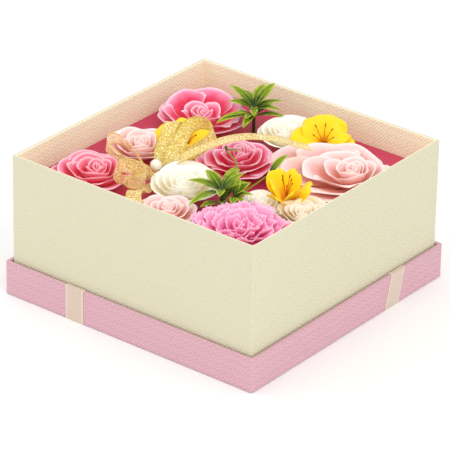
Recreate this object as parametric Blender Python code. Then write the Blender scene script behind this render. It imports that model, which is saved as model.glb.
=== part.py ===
"""Square gift box of soap-petal flowers, standing open in its own upturned lid.

Metres, +Z up. The origin is at the centre of the footprint, on the surface that the box stands on.
Every piece is a closed solid of its own. Neighbouring pieces keep a small named gap.
"""

import math

import bmesh
import bpy
from mathutils import Matrix, Vector

# ---- Driving sizes ----------------------------------------------------------------------------

BOX_SIDE = 0.200  # outside of the paper, along X and Y
BOX_HEIGHT = 0.0982  # underside to rim
LID_HEIGHT = 0.0238  # panel to rim
LID_CLEARANCE = 0.0012  # between the box and the lid's inside, each side
BOARD_THICKNESS = 0.0016
PAPER_THICKNESS = 0.0003
TURN_IN = 0.022  # how far the box's paper turns down inside the rim
LID_TURN_IN = 0.012
BOX_CORNER_RADIUS = 0.0014
LID_CORNER_RADIUS = 0.0016
LAYER_GAP = 0.0001  # between glued layers
TOUCH_GAP = 0.0003  # between pieces that only rest on each other

LID_RIBBON_WIDTH = 0.015
LID_RIBBON_THICKNESS = 0.0002
LID_RIBBON_TUCK = 0.009  # how far it turns down inside the lid's rim
LONG_RIBBON_X = -0.0435  # the ribbon that runs along Y
CROSS_RIBBON_Y = 0.0462  # the ribbon that runs along X
CROSS_RIBBON_SLANT = 0.0064  # how far it leans along Y on its way up the +X wall

PLATFORM_HEIGHT = 0.0812  # top of the platform above the table
PLATFORM_THICKNESS = 0.0008
PLATFORM_CLEARANCE = 0.0004

PEG_RADIUS = 0.0035
PEG_LENGTH = 0.009
PEG_CLEARANCE = 0.0003
CALYX_FLANGE_RADIUS = 0.0078
CALYX_HEIGHT = 0.0016
PICK_RADIUS = 0.0011
PICK_DEPTH = 0.020  # how far a stem reaches below the platform
BLOOM_GAP = 0.0008  # between two blooms pressed together
WALL_TO_BLOOM = 0.0005

GOLD_RIBBON_WIDTH = 0.010
GOLD_RIBBON_THICKNESS = 0.0004
GATHER_LENGTH = 0.018  # how near the knot the ribbon starts to draw in
GATHERED_SHARE = 0.35  # its width at the knot, as a share of its full width
PEARL_DIAMETER = 0.008
KNOT_RADIUS = 0.0032

# ---- Sizes that follow ------------------------------------------------------------------------

WALL = 2 * PAPER_THICKNESS + BOARD_THICKNESS + 2 * LAYER_GAP
LID_SIDE = BOX_SIDE + 2 * (LID_CLEARANCE + WALL)
LID_UNDERSIDE = 2 * (LID_RIBBON_THICKNESS + LAYER_GAP)
LID_FLOOR = LID_UNDERSIDE + WALL
LID_RIM = LID_UNDERSIDE + LID_HEIGHT
BOX_UNDERSIDE = LID_FLOOR + TOUCH_GAP
BOX_FLOOR = BOX_UNDERSIDE + WALL
BOX_RIM = BOX_UNDERSIDE + BOX_HEIGHT
INNER_HALF = BOX_SIDE / 2 - WALL
PLATFORM_UNDERSIDE = PLATFORM_HEIGHT - PLATFORM_THICKNESS
CALYX_TOP = PLATFORM_HEIGHT + TOUCH_GAP + CALYX_HEIGHT

# Each bloom: x, y, radius, height of its widest ring, height of its top, number of petal lobes.
BLOOMS = {
    "hot_pink_rose": (-0.061, -0.067, 0.0230, 0.0905, 0.0990, 5),
    "blush_rose_left": (-0.063, -0.014, 0.0200, 0.0900, 0.0975, 5),
    "pink_rose_back": (-0.060, 0.048, 0.0275, 0.0910, 0.0995, 5),
    "pink_rose_centre": (0.001, 0.009, 0.0235, 0.0905, 0.0985, 5),
    "white_rose_centre": (-0.0015, -0.041, 0.021, 0.0905, 0.099, 3),
    "blush_rose_front": (0.010, -0.076, 0.0180, 0.0885, 0.0950, 5),
    "carnation": (0.063, -0.066, 0.0320, 0.0895, 0.0985, 9),
    "white_rose_back": (0.003, 0.063, 0.0190, 0.0900, 0.0970, 5),
    "blush_rose_big": (0.0585, 0.034, 0.0390, 0.0905, 0.0985, 7),
    "cream_rose": (0.0795, -0.0215, 0.0180, 0.0895, 0.0960, 5),
    "white_rose_front": (0.0515, -0.0285, 0.0130, 0.0895, 0.0950, 3),
}

# Each freesia: x, y, radius of its mouth, height of its throat, height of its petal tips.
FREESIAS = {
    "freesia_back": (0.0275, 0.0685, 0.0180, 0.0880, 0.0965),
    "freesia_front": (0.0600, -0.0145, 0.0125, 0.0900, 0.1000),
    "freesia_left": (-0.0430, 0.0110, 0.0150, 0.0880, 0.0960),
}

# Each sprig: its stem's x and y, then its whorls. A whorl is the height of its hub and its leaves,
# each the place of the leaf's tip and its greatest width, listed once round the stem.
SPRIGS = {
    "sprig_back": (
        (-0.027, 0.063),
        {
            "upper": (
                0.0990,
                (
                    ((-0.013, 0.075, 0.0980), 0.0055),
                    ((-0.018, 0.084, 0.1005), 0.0055),
                    ((-0.038, 0.090, 0.106), 0.010),
                    ((-0.048, 0.078, 0.1020), 0.0065),
                    ((-0.054, 0.070, 0.1070), 0.006),
                    ((-0.047, 0.059, 0.1005), 0.008),
                    ((-0.018, 0.051, 0.101), 0.006),
                ),
            ),
            "lower": (
                0.0940,
                (
                    ((-0.009, 0.076, 0.0935), 0.007),
                    ((-0.029, 0.086, 0.0945), 0.007),
                    ((-0.044, 0.081, 0.0950), 0.006),
                    ((-0.037, 0.034, 0.0965), 0.009),
                    ((-0.020, 0.042, 0.0950), 0.006),
                ),
            ),
        },
    ),
    "sprig_front": (
        (0.031, -0.045),
        {
            "upper": (
                0.0975,
                (
                    ((0.040, -0.031, 0.102), 0.006),
                    ((0.023, -0.018, 0.103), 0.008),
                    ((0.010, -0.035, 0.103), 0.010),
                    ((0.009, -0.053, 0.102), 0.009),
                    ((0.027, -0.074, 0.098), 0.008),
                    ((0.041, -0.060, 0.103), 0.007),
                ),
            ),
            "lower": (
                0.0890,
                (
                    ((0.041, -0.040, 0.0900), 0.005),
                    ((0.033, -0.024, 0.0930), 0.005),
                    ((0.023, -0.028, 0.0930), 0.005),
                    ((0.025, -0.060, 0.0900), 0.006),
                ),
            ),
        },
    ),
}
HUB_RADIUS = 0.0026
HUB_HEIGHT = 0.0024
HUB_SIDES = 12
LEAF_THICKNESS = 0.0006
LEAF_ARCH = 0.1  # how strongly a leaf bows upwards between hub and tip

# The bow. Each run of ribbon is a list of places on its middle line, each with the direction
# of the ribbon's width there.
KNOT = (-0.0285, -0.0395, 0.0865)
PEARL = (-0.0290, -0.0385, 0.0940)
BOW_RUNS = {
    "bow_loop_back": (
        ((-0.028, -0.035, 0.088), (0.8, 0.6, 0.0)),
        ((-0.0275, -0.026, 0.095), (0.8, 0.6, -0.1)),
        ((-0.0275, -0.0185, 0.101), (0.8, 0.5, -0.25)),
        ((-0.029, -0.0105, 0.1055), (0.75, 0.35, -0.5)),
        ((-0.0305, -0.0020, 0.1085), (0.5, 0.2, -0.8)),
        ((-0.0265, 0.0040, 0.1100), (0.1, 0.2, -0.95)),
        ((-0.0190, 0.0055, 0.1095), (0.0, 0.3, -0.95)),
        ((-0.0125, 0.0015, 0.1075), (0.1, 0.4, -0.9)),
        ((-0.0120, -0.005, 0.1040), (0.2, 0.5, -0.85)),
        ((-0.017, -0.0145, 0.099), (0.4, 0.4, -0.8)),
        ((-0.021, -0.0215, 0.097), (0.7, 0.1, -0.7)),
    ),
    "bow_loop_up": (
        ((-0.032, -0.0345, 0.0885), (0.8, 0.6, 0.0)),
        ((-0.035, -0.026, 0.096), (0.8, 0.6, 0.0)),
        ((-0.0365, -0.019, 0.103), (0.8, 0.6, 0.0)),
        ((-0.0395, -0.0115, 0.108), (0.8, 0.6, 0.0)),
        ((-0.0415, -0.006, 0.1095), (0.8, 0.6, 0.0)),
        ((-0.0435, -0.0015, 0.1065), (0.8, 0.6, 0.0)),
        ((-0.041, -0.005, 0.1005), (0.8, 0.6, 0.0)),
        ((-0.037, -0.0155, 0.095), (0.8, 0.6, 0.0)),
        ((-0.0355, -0.0225, 0.090), (0.8, 0.6, 0.0)),
    ),
    "bow_loop_left": (
        ((-0.030, -0.0455, 0.0895), (0.2, -0.5, 0.8)),
        ((-0.0325, -0.046, 0.0945), (0.2, -0.5, 0.8)),
        ((-0.0385, -0.045, 0.0995), (0.2, -0.5, 0.8)),
        ((-0.048, -0.042, 0.1025), (0.2, -0.5, 0.8)),
        ((-0.0565, -0.0415, 0.1045), (0.15, -0.4, 0.9)),
        ((-0.0610, -0.0465, 0.1060), (0.15, -0.2, 0.95)),
        ((-0.0585, -0.0535, 0.1060), (0.2, -0.1, 0.97)),
        ((-0.0515, -0.0580, 0.1055), (0.2, -0.25, 0.95)),
        ((-0.043, -0.0595, 0.1040), (0.2, -0.4, 0.9)),
        ((-0.0345, -0.056, 0.0985), (0.3, -0.6, 0.8)),
        ((-0.029, -0.049, 0.0915), (0.2, -0.5, 0.8)),
    ),
    "bow_loop_front": (
        ((-0.025, -0.0475, 0.0895), (0.2, -0.4, 0.9)),
        ((-0.026, -0.054, 0.096), (0.1, -0.2, 1.0)),
        ((-0.0295, -0.060, 0.1005), (0.0, 0.2, 1.0)),
        ((-0.0335, -0.065, 0.1025), (0.0, 0.3, 1.0)),
        ((-0.035, -0.071, 0.103), (0.2, 0.2, 0.95)),
        ((-0.0320, -0.0765, 0.102), (0.3, -0.1, 0.95)),
        ((-0.0255, -0.0795, 0.1010), (0.3, -0.3, 0.9)),
        ((-0.0205, -0.0755, 0.0995), (0.15, -0.4, 0.9)),
        ((-0.021, -0.066, 0.095), (0.1, -0.5, 0.8)),
        ((-0.023, -0.056, 0.0935), (0.1, -0.4, 0.9)),
    ),
    "bow_tail_arch": (
        ((-0.025, -0.036, 0.089), (-0.8, 0.6, 0.0)),
        ((-0.021, -0.029, 0.0955), (-0.8, 0.6, 0.0)),
        ((-0.0135, -0.0225, 0.1015), (-0.8, 0.6, 0.0)),
        ((-0.0045, -0.013, 0.107), (-0.8, 0.6, 0.0)),
        ((0.005, -0.0035, 0.111), (-0.8, 0.6, 0.0)),
        ((0.0135, 0.007, 0.1115), (-0.8, 0.6, 0.0)),
        ((0.024, 0.0205, 0.108), (-0.8, 0.6, 0.0)),
        ((0.0325, 0.031, 0.103), (-0.8, 0.6, 0.0)),
        ((0.0385, 0.039, 0.099), (-0.8, 0.6, 0.0)),
    ),
    "bow_tail_front": (
        ((-0.0245, -0.0465, 0.0855), (0.9, 0.3, 0.0)),
        ((-0.0225, -0.0568, 0.0855), (0.9, 0.3, 0.0)),
        ((-0.0186, -0.067, 0.0885), (0.8, 0.5, 0.0)),
        ((-0.0135, -0.078, 0.096), (0.8, 0.6, 0.0)),
        ((-0.009, -0.0855, 0.0965), (0.8, 0.6, 0.0)),
        ((-0.0055, -0.089, 0.095), (0.8, 0.6, 0.0)),
        ((-0.0045, -0.090, 0.093), (0.8, 0.6, 0.0)),
    ),
}

# ---- Materials --------------------------------------------------------------------------------


def material(name, colour, roughness, metallic=0.0):
    made = bpy.data.materials.new(name)
    made.use_nodes = True
    shader = made.node_tree.nodes["Principled BSDF"]
    shader.inputs["Base Color"].default_value = (*colour, 1.0)
    shader.inputs["Roughness"].default_value = roughness
    shader.inputs["Metallic"].default_value = metallic
    made.diffuse_color = (*colour, 1.0)
    return made


COLOURS = {
    "cream_paper": ((0.82, 0.76, 0.56), 0.6),
    "pink_paper": ((0.82, 0.47, 0.55), 0.6),
    "greyboard": ((0.45, 0.42, 0.38), 0.9),
    "lining_paper": ((0.85, 0.78, 0.62), 0.7),
    "cream_satin": ((0.80, 0.66, 0.54), 0.35),
    "crimson_card": ((0.55, 0.03, 0.08), 0.6),
    "hot_pink_petal": ((0.90, 0.22, 0.36), 0.6),
    "blush_petal": ((0.92, 0.68, 0.66), 0.6),
    "pink_petal": ((0.88, 0.38, 0.55), 0.6),
    "white_petal": ((0.93, 0.90, 0.82), 0.6),
    "cream_petal": ((0.90, 0.80, 0.60), 0.6),
    "carnation_petal": ((0.90, 0.34, 0.55), 0.6),
    "yellow_petal": ((0.95, 0.68, 0.01), 0.5),
    "stamen": ((0.65, 0.25, 0.02), 0.5),
    "leaf_plastic": ((0.12, 0.28, 0.02), 0.45),
    "stem_plastic": ((0.08, 0.20, 0.03), 0.5),
    "gold_organza": ((0.78, 0.55, 0.14), 0.35, 0.5),
    "gold_wire": ((0.70, 0.50, 0.15), 0.35, 0.9),
    "pearl": ((0.90, 0.86, 0.74), 0.2),
}
FINISHES = {name: material(name, *values) for name, values in COLOURS.items()}

# ---- Building blocks --------------------------------------------------------------------------


def new_object(name, mesh, finish, parent=None, smooth_angle=None):
    """Link a finished bmesh as one named piece. Its vertices are in world coordinates."""
    bmesh.ops.recalc_face_normals(mesh, faces=mesh.faces)
    data = bpy.data.meshes.new(name)
    mesh.to_mesh(data)
    mesh.free()
    data.materials.append(FINISHES[finish])
    piece = bpy.data.objects.new(name, data)
    bpy.context.scene.collection.objects.link(piece)
    if smooth_angle is not None:
        data.shade_smooth()
        data.set_sharp_from_angle(angle=smooth_angle)
    if parent is not None:
        piece.parent = parent
        piece.matrix_parent_inverse = Matrix.Translation(-parent.location)
    return piece


def loft(mesh, rings, closed=False):
    """Join rings of equal length with quads. Open lofts are capped at both ends."""
    count = len(rings[0])
    made = [[mesh.verts.new(point) for point in ring] for ring in rings]
    pairs = list(zip(made, made[1:]))
    if closed:
        pairs.append((made[-1], made[0]))
    for lower, upper in pairs:
        for i in range(count):
            j = (i + 1) % count
            mesh.faces.new((lower[i], lower[j], upper[j], upper[i]))
    if not closed:
        mesh.faces.new(reversed(made[0]))
        mesh.faces.new(made[-1])
    return made


def rounded_square(half, radius, z, segments=4):
    """Points round a square of the given half side, with arcs at its corners."""
    radius = min(max(radius, 0.0002), half)
    points = []
    for corner in range(4):
        for step in range(segments + 1):
            angle = math.pi / 2 * (corner + step / segments)
            x = math.copysign(half - radius, math.cos(math.pi / 4 + corner * math.pi / 2))
            y = math.copysign(half - radius, math.sin(math.pi / 4 + corner * math.pi / 2))
            points.append((x + radius * math.cos(angle), y + radius * math.sin(angle), z))
    return points


def square_tray(name, side, corner_radius, profile, finish, parent):
    """A tray lofted through (inset from the side, height) pairs, capped at its first and last."""
    mesh = bmesh.new()
    rings = [rounded_square(side / 2 - inset, corner_radius - inset, z) for inset, z in profile]
    loft(mesh, rings)
    return new_object(name, mesh, finish, parent)


def empty(name, place):
    """A parent that stands on a moving body's joint axis."""
    made = bpy.data.objects.new(name, None)
    made.location = place
    bpy.context.scene.collection.objects.link(made)
    return made


def circle(x, y, z, radius, sides):
    return [
        (
            x + radius * math.cos(2 * math.pi * i / sides),
            y + radius * math.sin(2 * math.pi * i / sides),
            z,
        )
        for i in range(sides)
    ]


def turned(name, x, y, profile, sides, finish, parent):
    """A solid turned about a vertical axis, from (radius, height) pairs, bottom to top."""
    mesh = bmesh.new()
    loft(mesh, [circle(x, y, z, radius, sides) for radius, z in profile])
    return new_object(name, mesh, finish, parent, smooth_angle=math.radians(40))


# ---- Box and lid ------------------------------------------------------------------------------


def paper_wrap(name, side, corner_radius, underside, rim, turn_in, finish, parent):
    """Covering paper: over the outside and the rim, then turned down inside."""
    roll = 0.0004
    profile = (
        (0, underside),
        (0, rim - roll),
        (0.3 * roll, rim - 0.3 * roll),
        (roll, rim),
        (WALL - roll, rim),
        (WALL - 0.3 * roll, rim - 0.3 * roll),
        (WALL, rim - roll),
        (WALL, rim - turn_in),
        (WALL - PAPER_THICKNESS, rim - turn_in),
        (WALL - PAPER_THICKNESS, rim - PAPER_THICKNESS - roll),
        (PAPER_THICKNESS, rim - PAPER_THICKNESS - roll),
        (PAPER_THICKNESS, underside + PAPER_THICKNESS),
    )
    return square_tray(name, side, corner_radius, profile, finish, parent)


def board_tray(name, side, corner_radius, underside, rim, parent):
    """The grey board under the paper."""
    outer = PAPER_THICKNESS + LAYER_GAP
    inner = outer + BOARD_THICKNESS
    top = rim - 2 * outer - LAYER_GAP
    profile = (
        (outer, underside + outer),
        (outer, top),
        (inner, top),
        (inner, underside + inner),
    )
    return square_tray(name, side, corner_radius, profile, "greyboard", parent)


def lining_tray(name, side, corner_radius, underside, rim, turn_in, parent):
    """The paper pasted inside, up to where the covering paper is turned in."""
    outer = WALL - PAPER_THICKNESS
    top = rim - turn_in - LAYER_GAP
    profile = (
        (outer, underside + outer),
        (outer, top),
        (WALL, top),
        (WALL, underside + WALL),
    )
    return square_tray(name, side, corner_radius, profile, "lining_paper", parent)


def rigid_tray(prefix, side, corner_radius, underside, rim, turn_in, finish, parent):
    paper_wrap(prefix + "_wrap", side, corner_radius, underside, rim, turn_in, finish, parent)
    board_tray(prefix + "_board", side, corner_radius, underside, rim, parent)
    lining_tray(prefix + "_lining", side, corner_radius, underside, rim, turn_in, parent)


def strip(mesh, places, sides, widths, thickness, square=True):
    """A flat ribbon along places, its width along sides, as one closed solid.

    A square ribbon's width stands at right angles to its run. Otherwise it keeps its direction.
    """
    rings = []
    for i, (place, side, width) in enumerate(zip(places, sides, widths)):
        along = places[min(i + 1, len(places) - 1)] - places[max(i - 1, 0)]
        lean = side.dot(along) / along.length_squared if square else 0
        across = (side - along * lean).normalized()
        normal = along.cross(across).normalized()
        half, deep = across * width / 2, normal * thickness / 2
        rings.append([place - half - deep, place + half - deep, place + half + deep, place - half + deep])
    loft(mesh, rings)


def rounded_route(corners, radius, steps=3):
    """The corners joined by straight runs, each inner corner replaced by a short arc."""
    route = [corners[0]]
    for before, corner, after in zip(corners, corners[1:], corners[2:]):
        start = corner + (before - corner).normalized() * radius
        end = corner + (after - corner).normalized() * radius
        for step in range(steps + 1):
            t = step / steps
            route.append(start * (1 - t) ** 2 + corner * 2 * t * (1 - t) + end * t**2)
    route.append(corners[-1])
    return route


def lid_ribbon(name, place, crossing, slant, parent, along_x):
    """A satin ribbon glued over the lid from inside one wall, under the panel, to inside the other.

    It runs along Y at x = place, or along X at y = place. Where it crosses the other ribbon
    it passes above it, next to the panel.
    """
    off = LAYER_GAP + LID_RIBBON_THICKNESS / 2
    outside = LID_SIDE / 2 + off
    inside = LID_SIDE / 2 - WALL - off
    top = LID_RIM + off
    bottom = LID_RIBBON_THICKNESS / 2
    end = LID_RIM - LID_RIBBON_TUCK
    corners = [(-inside, end), (-inside, top), (-outside, top), (-outside, bottom)]
    if crossing is not None:
        step_up = bottom + LID_RIBBON_THICKNESS + LAYER_GAP
        near = LID_RIBBON_WIDTH / 2 + 0.0015
        far = near + 0.004
        corners += [(crossing - far, bottom), (crossing - near, step_up)]
        corners += [(crossing + near, step_up), (crossing + far, bottom)]
    corners += [(outside, bottom), (outside, top), (inside, top), (inside, end)]

    def lean(run, z):
        return slant * min(max(z / LID_RIM, 0), 1) if run > 0.9 * inside else 0

    if along_x:
        points = [Vector((run, place + lean(run, z), z)) for run, z in corners]
        across = Vector((0, 1, 0))
    else:
        points = [Vector((place, run, z)) for run, z in corners]
        across = Vector((1, 0, 0))
    places = rounded_route(points, LID_RIBBON_THICKNESS)
    mesh = bmesh.new()
    sides = [across] * len(places)
    widths = [LID_RIBBON_WIDTH] * len(places)
    strip(mesh, places, sides, widths, LID_RIBBON_THICKNESS, square=False)
    return new_object(name, mesh, "cream_satin", parent)


def make_lid(parent):
    rigid_tray(
        "lid", LID_SIDE, LID_CORNER_RADIUS, LID_UNDERSIDE, LID_RIM, LID_TURN_IN, "pink_paper", parent
    )
    lid_ribbon("lid_ribbon_long", LONG_RIBBON_X, None, 0, parent, along_x=False)
    lid_ribbon(
        "lid_ribbon_cross", CROSS_RIBBON_Y, LONG_RIBBON_X, CROSS_RIBBON_SLANT, parent, along_x=True
    )


def make_box(parent):
    rigid_tray(
        "box", BOX_SIDE, BOX_CORNER_RADIUS, BOX_UNDERSIDE, BOX_RIM, TURN_IN, "cream_paper", parent
    )


# ---- Platform ---------------------------------------------------------------------------------


def make_platform(parent):
    """A folded card tray, open below, with a die-cut hole for each peg and stem."""
    inset = WALL + PLATFORM_CLEARANCE
    foot = BOX_FLOOR + TOUCH_GAP
    profile = (
        (inset, PLATFORM_HEIGHT),
        (inset, foot),
        (inset + PLATFORM_THICKNESS, foot),
        (inset + PLATFORM_THICKNESS, PLATFORM_UNDERSIDE),
    )
    platform = square_tray(
        "platform", BOX_SIDE, BOX_CORNER_RADIUS + WALL, profile, "crimson_card", parent
    )
    holes = [(x, y, PEG_RADIUS) for x, y, *_ in BLOOMS.values()]
    holes += [(x, y, PICK_RADIUS) for x, y, *_ in FREESIAS.values()]
    holes += [(*stem, PICK_RADIUS) for stem, _ in SPRIGS.values()]
    holes.append((KNOT[0], KNOT[1], PICK_RADIUS))
    mesh = bmesh.new()
    for x, y, radius in holes:
        reach = radius + PEG_CLEARANCE
        low, high = PLATFORM_UNDERSIDE - 0.002, PLATFORM_HEIGHT + 0.002
        loft(mesh, [circle(x, y, z, reach, 16) for z in (low, high)])
    cutter = new_object("platform_holes", mesh, "crimson_card", parent)
    cutter.hide_render = True
    cutter.display_type = "WIRE"
    cut = platform.modifiers.new("holes", "BOOLEAN")
    cut.operation = "DIFFERENCE"
    cut.object = cutter


# ---- Flowers ----------------------------------------------------------------------------------


def reach(name, angle):
    """How far a flower spreads in one direction before a wall or a neighbour holds it back.

    Two flowers that would overlap share the line between them, half the gap to each side.
    """
    places = {**BLOOMS, **FREESIAS}
    x, y, radius = places[name][:3]
    direction = Vector((math.cos(angle), math.sin(angle)))
    limit = radius
    for here, towards in ((x, direction.x), (y, direction.y)):
        if abs(towards) > 1e-6:
            wall = math.copysign(INNER_HALF - WALL_TO_BLOOM, towards)
            limit = min(limit, (wall - here) / towards)
    for other, (other_x, other_y, other_radius, *_) in places.items():
        apart = Vector((other_x - x, other_y - y))
        if other == name or apart.length > radius + other_radius + BLOOM_GAP:
            continue
        facing = direction.dot(apart.normalized())
        shared = (apart.length_squared + radius**2 - other_radius**2) / (2 * apart.length)
        if facing > 1e-6:
            limit = min(limit, (shared - BLOOM_GAP / 2) / facing)
    return limit


def flower_ring(name, x, y, z, share, lobes, scallop, sides):
    points = []
    for i in range(sides):
        angle = 2 * math.pi * i / sides
        wave = 1 - scallop * (0.5 - 0.5 * math.cos(lobes * angle))
        radius = reach(name, angle) * share * wave
        points.append((x + radius * math.cos(angle), y + radius * math.sin(angle), z))
    return points


def make_calyx(name, x, y, parent):
    """The green cup that the petals are glued to, its peg pushed through the platform."""
    flange = PLATFORM_HEIGHT + TOUCH_GAP
    profile = (
        (PEG_RADIUS - 0.0006, PLATFORM_HEIGHT - PEG_LENGTH),
        (PEG_RADIUS, PLATFORM_HEIGHT - PEG_LENGTH + 0.0015),
        (PEG_RADIUS, flange),
        (CALYX_FLANGE_RADIUS, flange),
        (CALYX_FLANGE_RADIUS - 0.0008, CALYX_TOP),
    )
    turned(name + "_calyx", x, y, profile, 12, "stem_plastic", parent)


def make_bloom(name, finish, parent):
    """A glued head of petals: a squat dome with a scalloped, pressed-in outline."""
    x, y, radius, widest, top, lobes = BLOOMS[name]
    base = CALYX_TOP + TOUCH_GAP
    rise = top - widest
    profile = (
        (0.30, base, 0.0),
        (0.78, base + 0.45 * (widest - base), 0.0),
        (1.00, widest, 0.06),
        (0.94, widest + 0.40 * rise, 0.10),
        (0.72, widest + 0.78 * rise, 0.08),
        (0.38, top, 0.0),
    )
    mesh = bmesh.new()
    loft(mesh, [flower_ring(name, x, y, z, share, lobes, dip, 24) for share, z, dip in profile])
    new_object(name, mesh, finish, parent, smooth_angle=math.radians(50))
    make_calyx(name, x, y, parent)


def make_freesia(name, parent):
    """A six-petalled funnel with its stamens, on a wire stem pushed through the platform."""
    x, y, radius, throat, tips = FREESIAS[name]
    lip = 0.0008
    wall = (
        (0.16, throat - 0.0020, 0.0),
        (0.34, throat + 0.0010, 0.0),
        (0.72, throat + 0.55 * (tips - throat), 0.08),
        (1.00, tips - lip, 0.22),
        (0.96, tips, 0.22),
        (0.62, throat + 0.55 * (tips - throat) + 0.0012, 0.08),
        (0.22, throat + 0.0022, 0.0),
    )
    mesh = bmesh.new()
    loft(mesh, [flower_ring(name, x, y, z, share, 6, dip, 24) for share, z, dip in wall])
    new_object(name, mesh, "yellow_petal", parent, smooth_angle=math.radians(50))

    top = throat - 0.0020 - TOUCH_GAP
    stem = (
        (PICK_RADIUS, PLATFORM_HEIGHT - PICK_DEPTH),
        (PICK_RADIUS, top - 0.0035),
        (0.0021, top - 0.0015),
        (0.0022, top),
    )
    turned(name + "_stem", x, y, stem, 8, "stem_plastic", parent)
    make_stamens(name, x, y, throat + 0.0022 + TOUCH_GAP, 0.0055, 0.14 * radius, parent)


def make_stamens(name, x, y, foot, length, spread, parent):
    """Three pairs of filaments growing out of one small boss."""
    mesh = bmesh.new()
    sides, thick = 6, 0.00045
    boss = loft(mesh, [circle(x, y, z, 0.0011, sides) for z in (foot, foot + 0.0010)])
    for i in range(sides):
        j = (i + 1) % sides
        low, high = boss
        face = next(f for f in low[i].link_faces if set(f.verts) == {low[i], low[j], high[i], high[j]})
        angle = 2 * math.pi * (i + 0.5) / sides
        out = Vector((math.cos(angle), math.sin(angle), 0))
        axis = Vector((x, y, foot))
        for share, rise in ((0.55, 0.45), (1.0, 1.0)):
            moved = bmesh.ops.extrude_discrete_faces(mesh, faces=[face])["faces"][0]
            centre = axis + out * (0.0011 + spread * share) + Vector((0, 0, 0.0006 + length * rise))
            for corner in moved.verts:
                corner.co = centre + (corner.co - moved.calc_center_median()).normalized() * thick
            face = moved
    new_object(name + "_stamens", mesh, "stamen", parent)


# ---- Greenery ---------------------------------------------------------------------------------


def make_whorl(name, x, y, height, leaves, parent):
    """A ring of leaves moulded round a collar that is threaded on the stem."""
    mesh = bmesh.new()
    bore = PICK_RADIUS + PEG_CLEARANCE
    low, high = height - HUB_HEIGHT / 2, height + HUB_HEIGHT / 2
    section = ((bore, low), (HUB_RADIUS, low), (HUB_RADIUS, high), (bore, high))
    made = loft(mesh, [circle(x, y, z, radius, HUB_SIDES) for radius, z in section], closed=True)
    hub = Vector((x, y, height))
    free = [
        next(f for f in made[1][i].link_faces if made[2][(i + 1) % HUB_SIDES] in f.verts)
        for i in range(HUB_SIDES)
    ]
    for tip, width in leaves:
        out = Vector(tip) - hub
        flat = Vector((out.x, out.y, 0)).normalized()
        side = Vector((-flat.y, flat.x, 0))
        face = max(free, key=lambda f: (f.calc_center_median() - hub).dot(flat))
        free.remove(face)
        for share, wide in ((0.28, 0.36), (0.50, 1.0), (0.72, 0.85), (1.0, 0.12)):
            arch = Vector((0, 0, LEAF_ARCH * out.length * share * (1 - share)))
            centre = hub + out * share + arch
            old = face.calc_center_median()
            face = bmesh.ops.extrude_discrete_faces(mesh, faces=[face])["faces"][0]
            for corner in face.verts:
                across = math.copysign(wide * width / 2, (corner.co - old).dot(side))
                up = math.copysign(LEAF_THICKNESS / 2, corner.co.z - old.z)
                corner.co = centre + side * across + Vector((0, 0, up))
    new_object(name, mesh, "leaf_plastic", parent)


def make_sprig(name, parent):
    (x, y), whorls = SPRIGS[name]
    top = max(height for height, _ in whorls.values()) + HUB_HEIGHT / 2 + 0.0008
    profile = ((PICK_RADIUS, PLATFORM_HEIGHT - PICK_DEPTH), (PICK_RADIUS, top))
    turned(name + "_stem", x, y, profile, 8, "stem_plastic", parent)
    for whorl, (height, leaves) in whorls.items():
        make_whorl(f"{name}_{whorl}_whorl", x, y, height, leaves, parent)


# ---- Bow --------------------------------------------------------------------------------------


def smooth_run(run, steps=8):
    """A Catmull-Rom curve through the run's places, and its width directions turned with it."""
    places = [Vector(place) for place, _ in run]
    sides = [Vector(side).normalized() for _, side in run]
    route, turns = [], []
    for i in range(len(places) - 1):
        a, b = places[max(i - 1, 0)], places[i]
        c, d = places[i + 1], places[min(i + 2, len(places) - 1)]
        for step in range(steps):
            t = step / steps
            route.append(
                0.5 * (2 * b + (c - a) * t + (2 * a - 5 * b + 4 * c - d) * t**2 + (3 * b - a - 3 * c + d) * t**3)
            )
            turns.append(sides[i].lerp(sides[i + 1], t))
    return route + [places[-1]], turns + [sides[-1]]


def gathered_width(place):
    """The ribbon's width, drawn in where it nears the knot."""
    spread = min((place - Vector(KNOT)).length / GATHER_LENGTH, 1)
    return GOLD_RIBBON_WIDTH * (GATHERED_SHARE + (1 - GATHERED_SHARE) * spread * spread)


def make_bow(parent):
    """Loops and tails of wired organza, tied to a wire pick, with a pearl over the knot."""
    for name, run in BOW_RUNS.items():
        mesh = bmesh.new()
        places, sides = smooth_run(run)
        widths = [gathered_width(place) for place in places]
        strip(mesh, places, sides, widths, GOLD_RIBBON_THICKNESS)
        new_object(name, mesh, "gold_organza", parent)
    x, y, z = KNOT
    barrel = ((0.6, -0.8), (0.95, -0.4), (1.0, 0.0), (0.95, 0.4), (0.6, 0.8))
    profile = [(KNOT_RADIUS * wide, z + KNOT_RADIUS * up) for wide, up in barrel]
    turned("bow_knot", x, y, profile, 12, "gold_organza", parent)
    knot_foot = z - 0.8 * KNOT_RADIUS
    pick = (
        (PICK_RADIUS, PLATFORM_HEIGHT - PICK_DEPTH),
        (PICK_RADIUS, knot_foot - TOUCH_GAP),
    )
    turned("bow_pick", x, y, pick, 8, "gold_wire", parent)
    mesh = bmesh.new()
    placing = Matrix.Translation(PEARL)
    bmesh.ops.create_uvsphere(
        mesh, u_segments=14, v_segments=9, radius=PEARL_DIAMETER / 2, matrix=placing
    )
    new_object("bow_pearl", mesh, "pearl", parent, smooth_angle=math.radians(60))


# ---- The whole --------------------------------------------------------------------------------

BLOOM_FINISHES = {
    "hot_pink_rose": "hot_pink_petal",
    "blush_rose_left": "blush_petal",
    "pink_rose_back": "pink_petal",
    "pink_rose_centre": "pink_petal",
    "white_rose_centre": "white_petal",
    "blush_rose_front": "blush_petal",
    "carnation": "carnation_petal",
    "white_rose_back": "white_petal",
    "blush_rose_big": "blush_petal",
    "cream_rose": "cream_petal",
    "white_rose_front": "white_petal",
}


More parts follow.
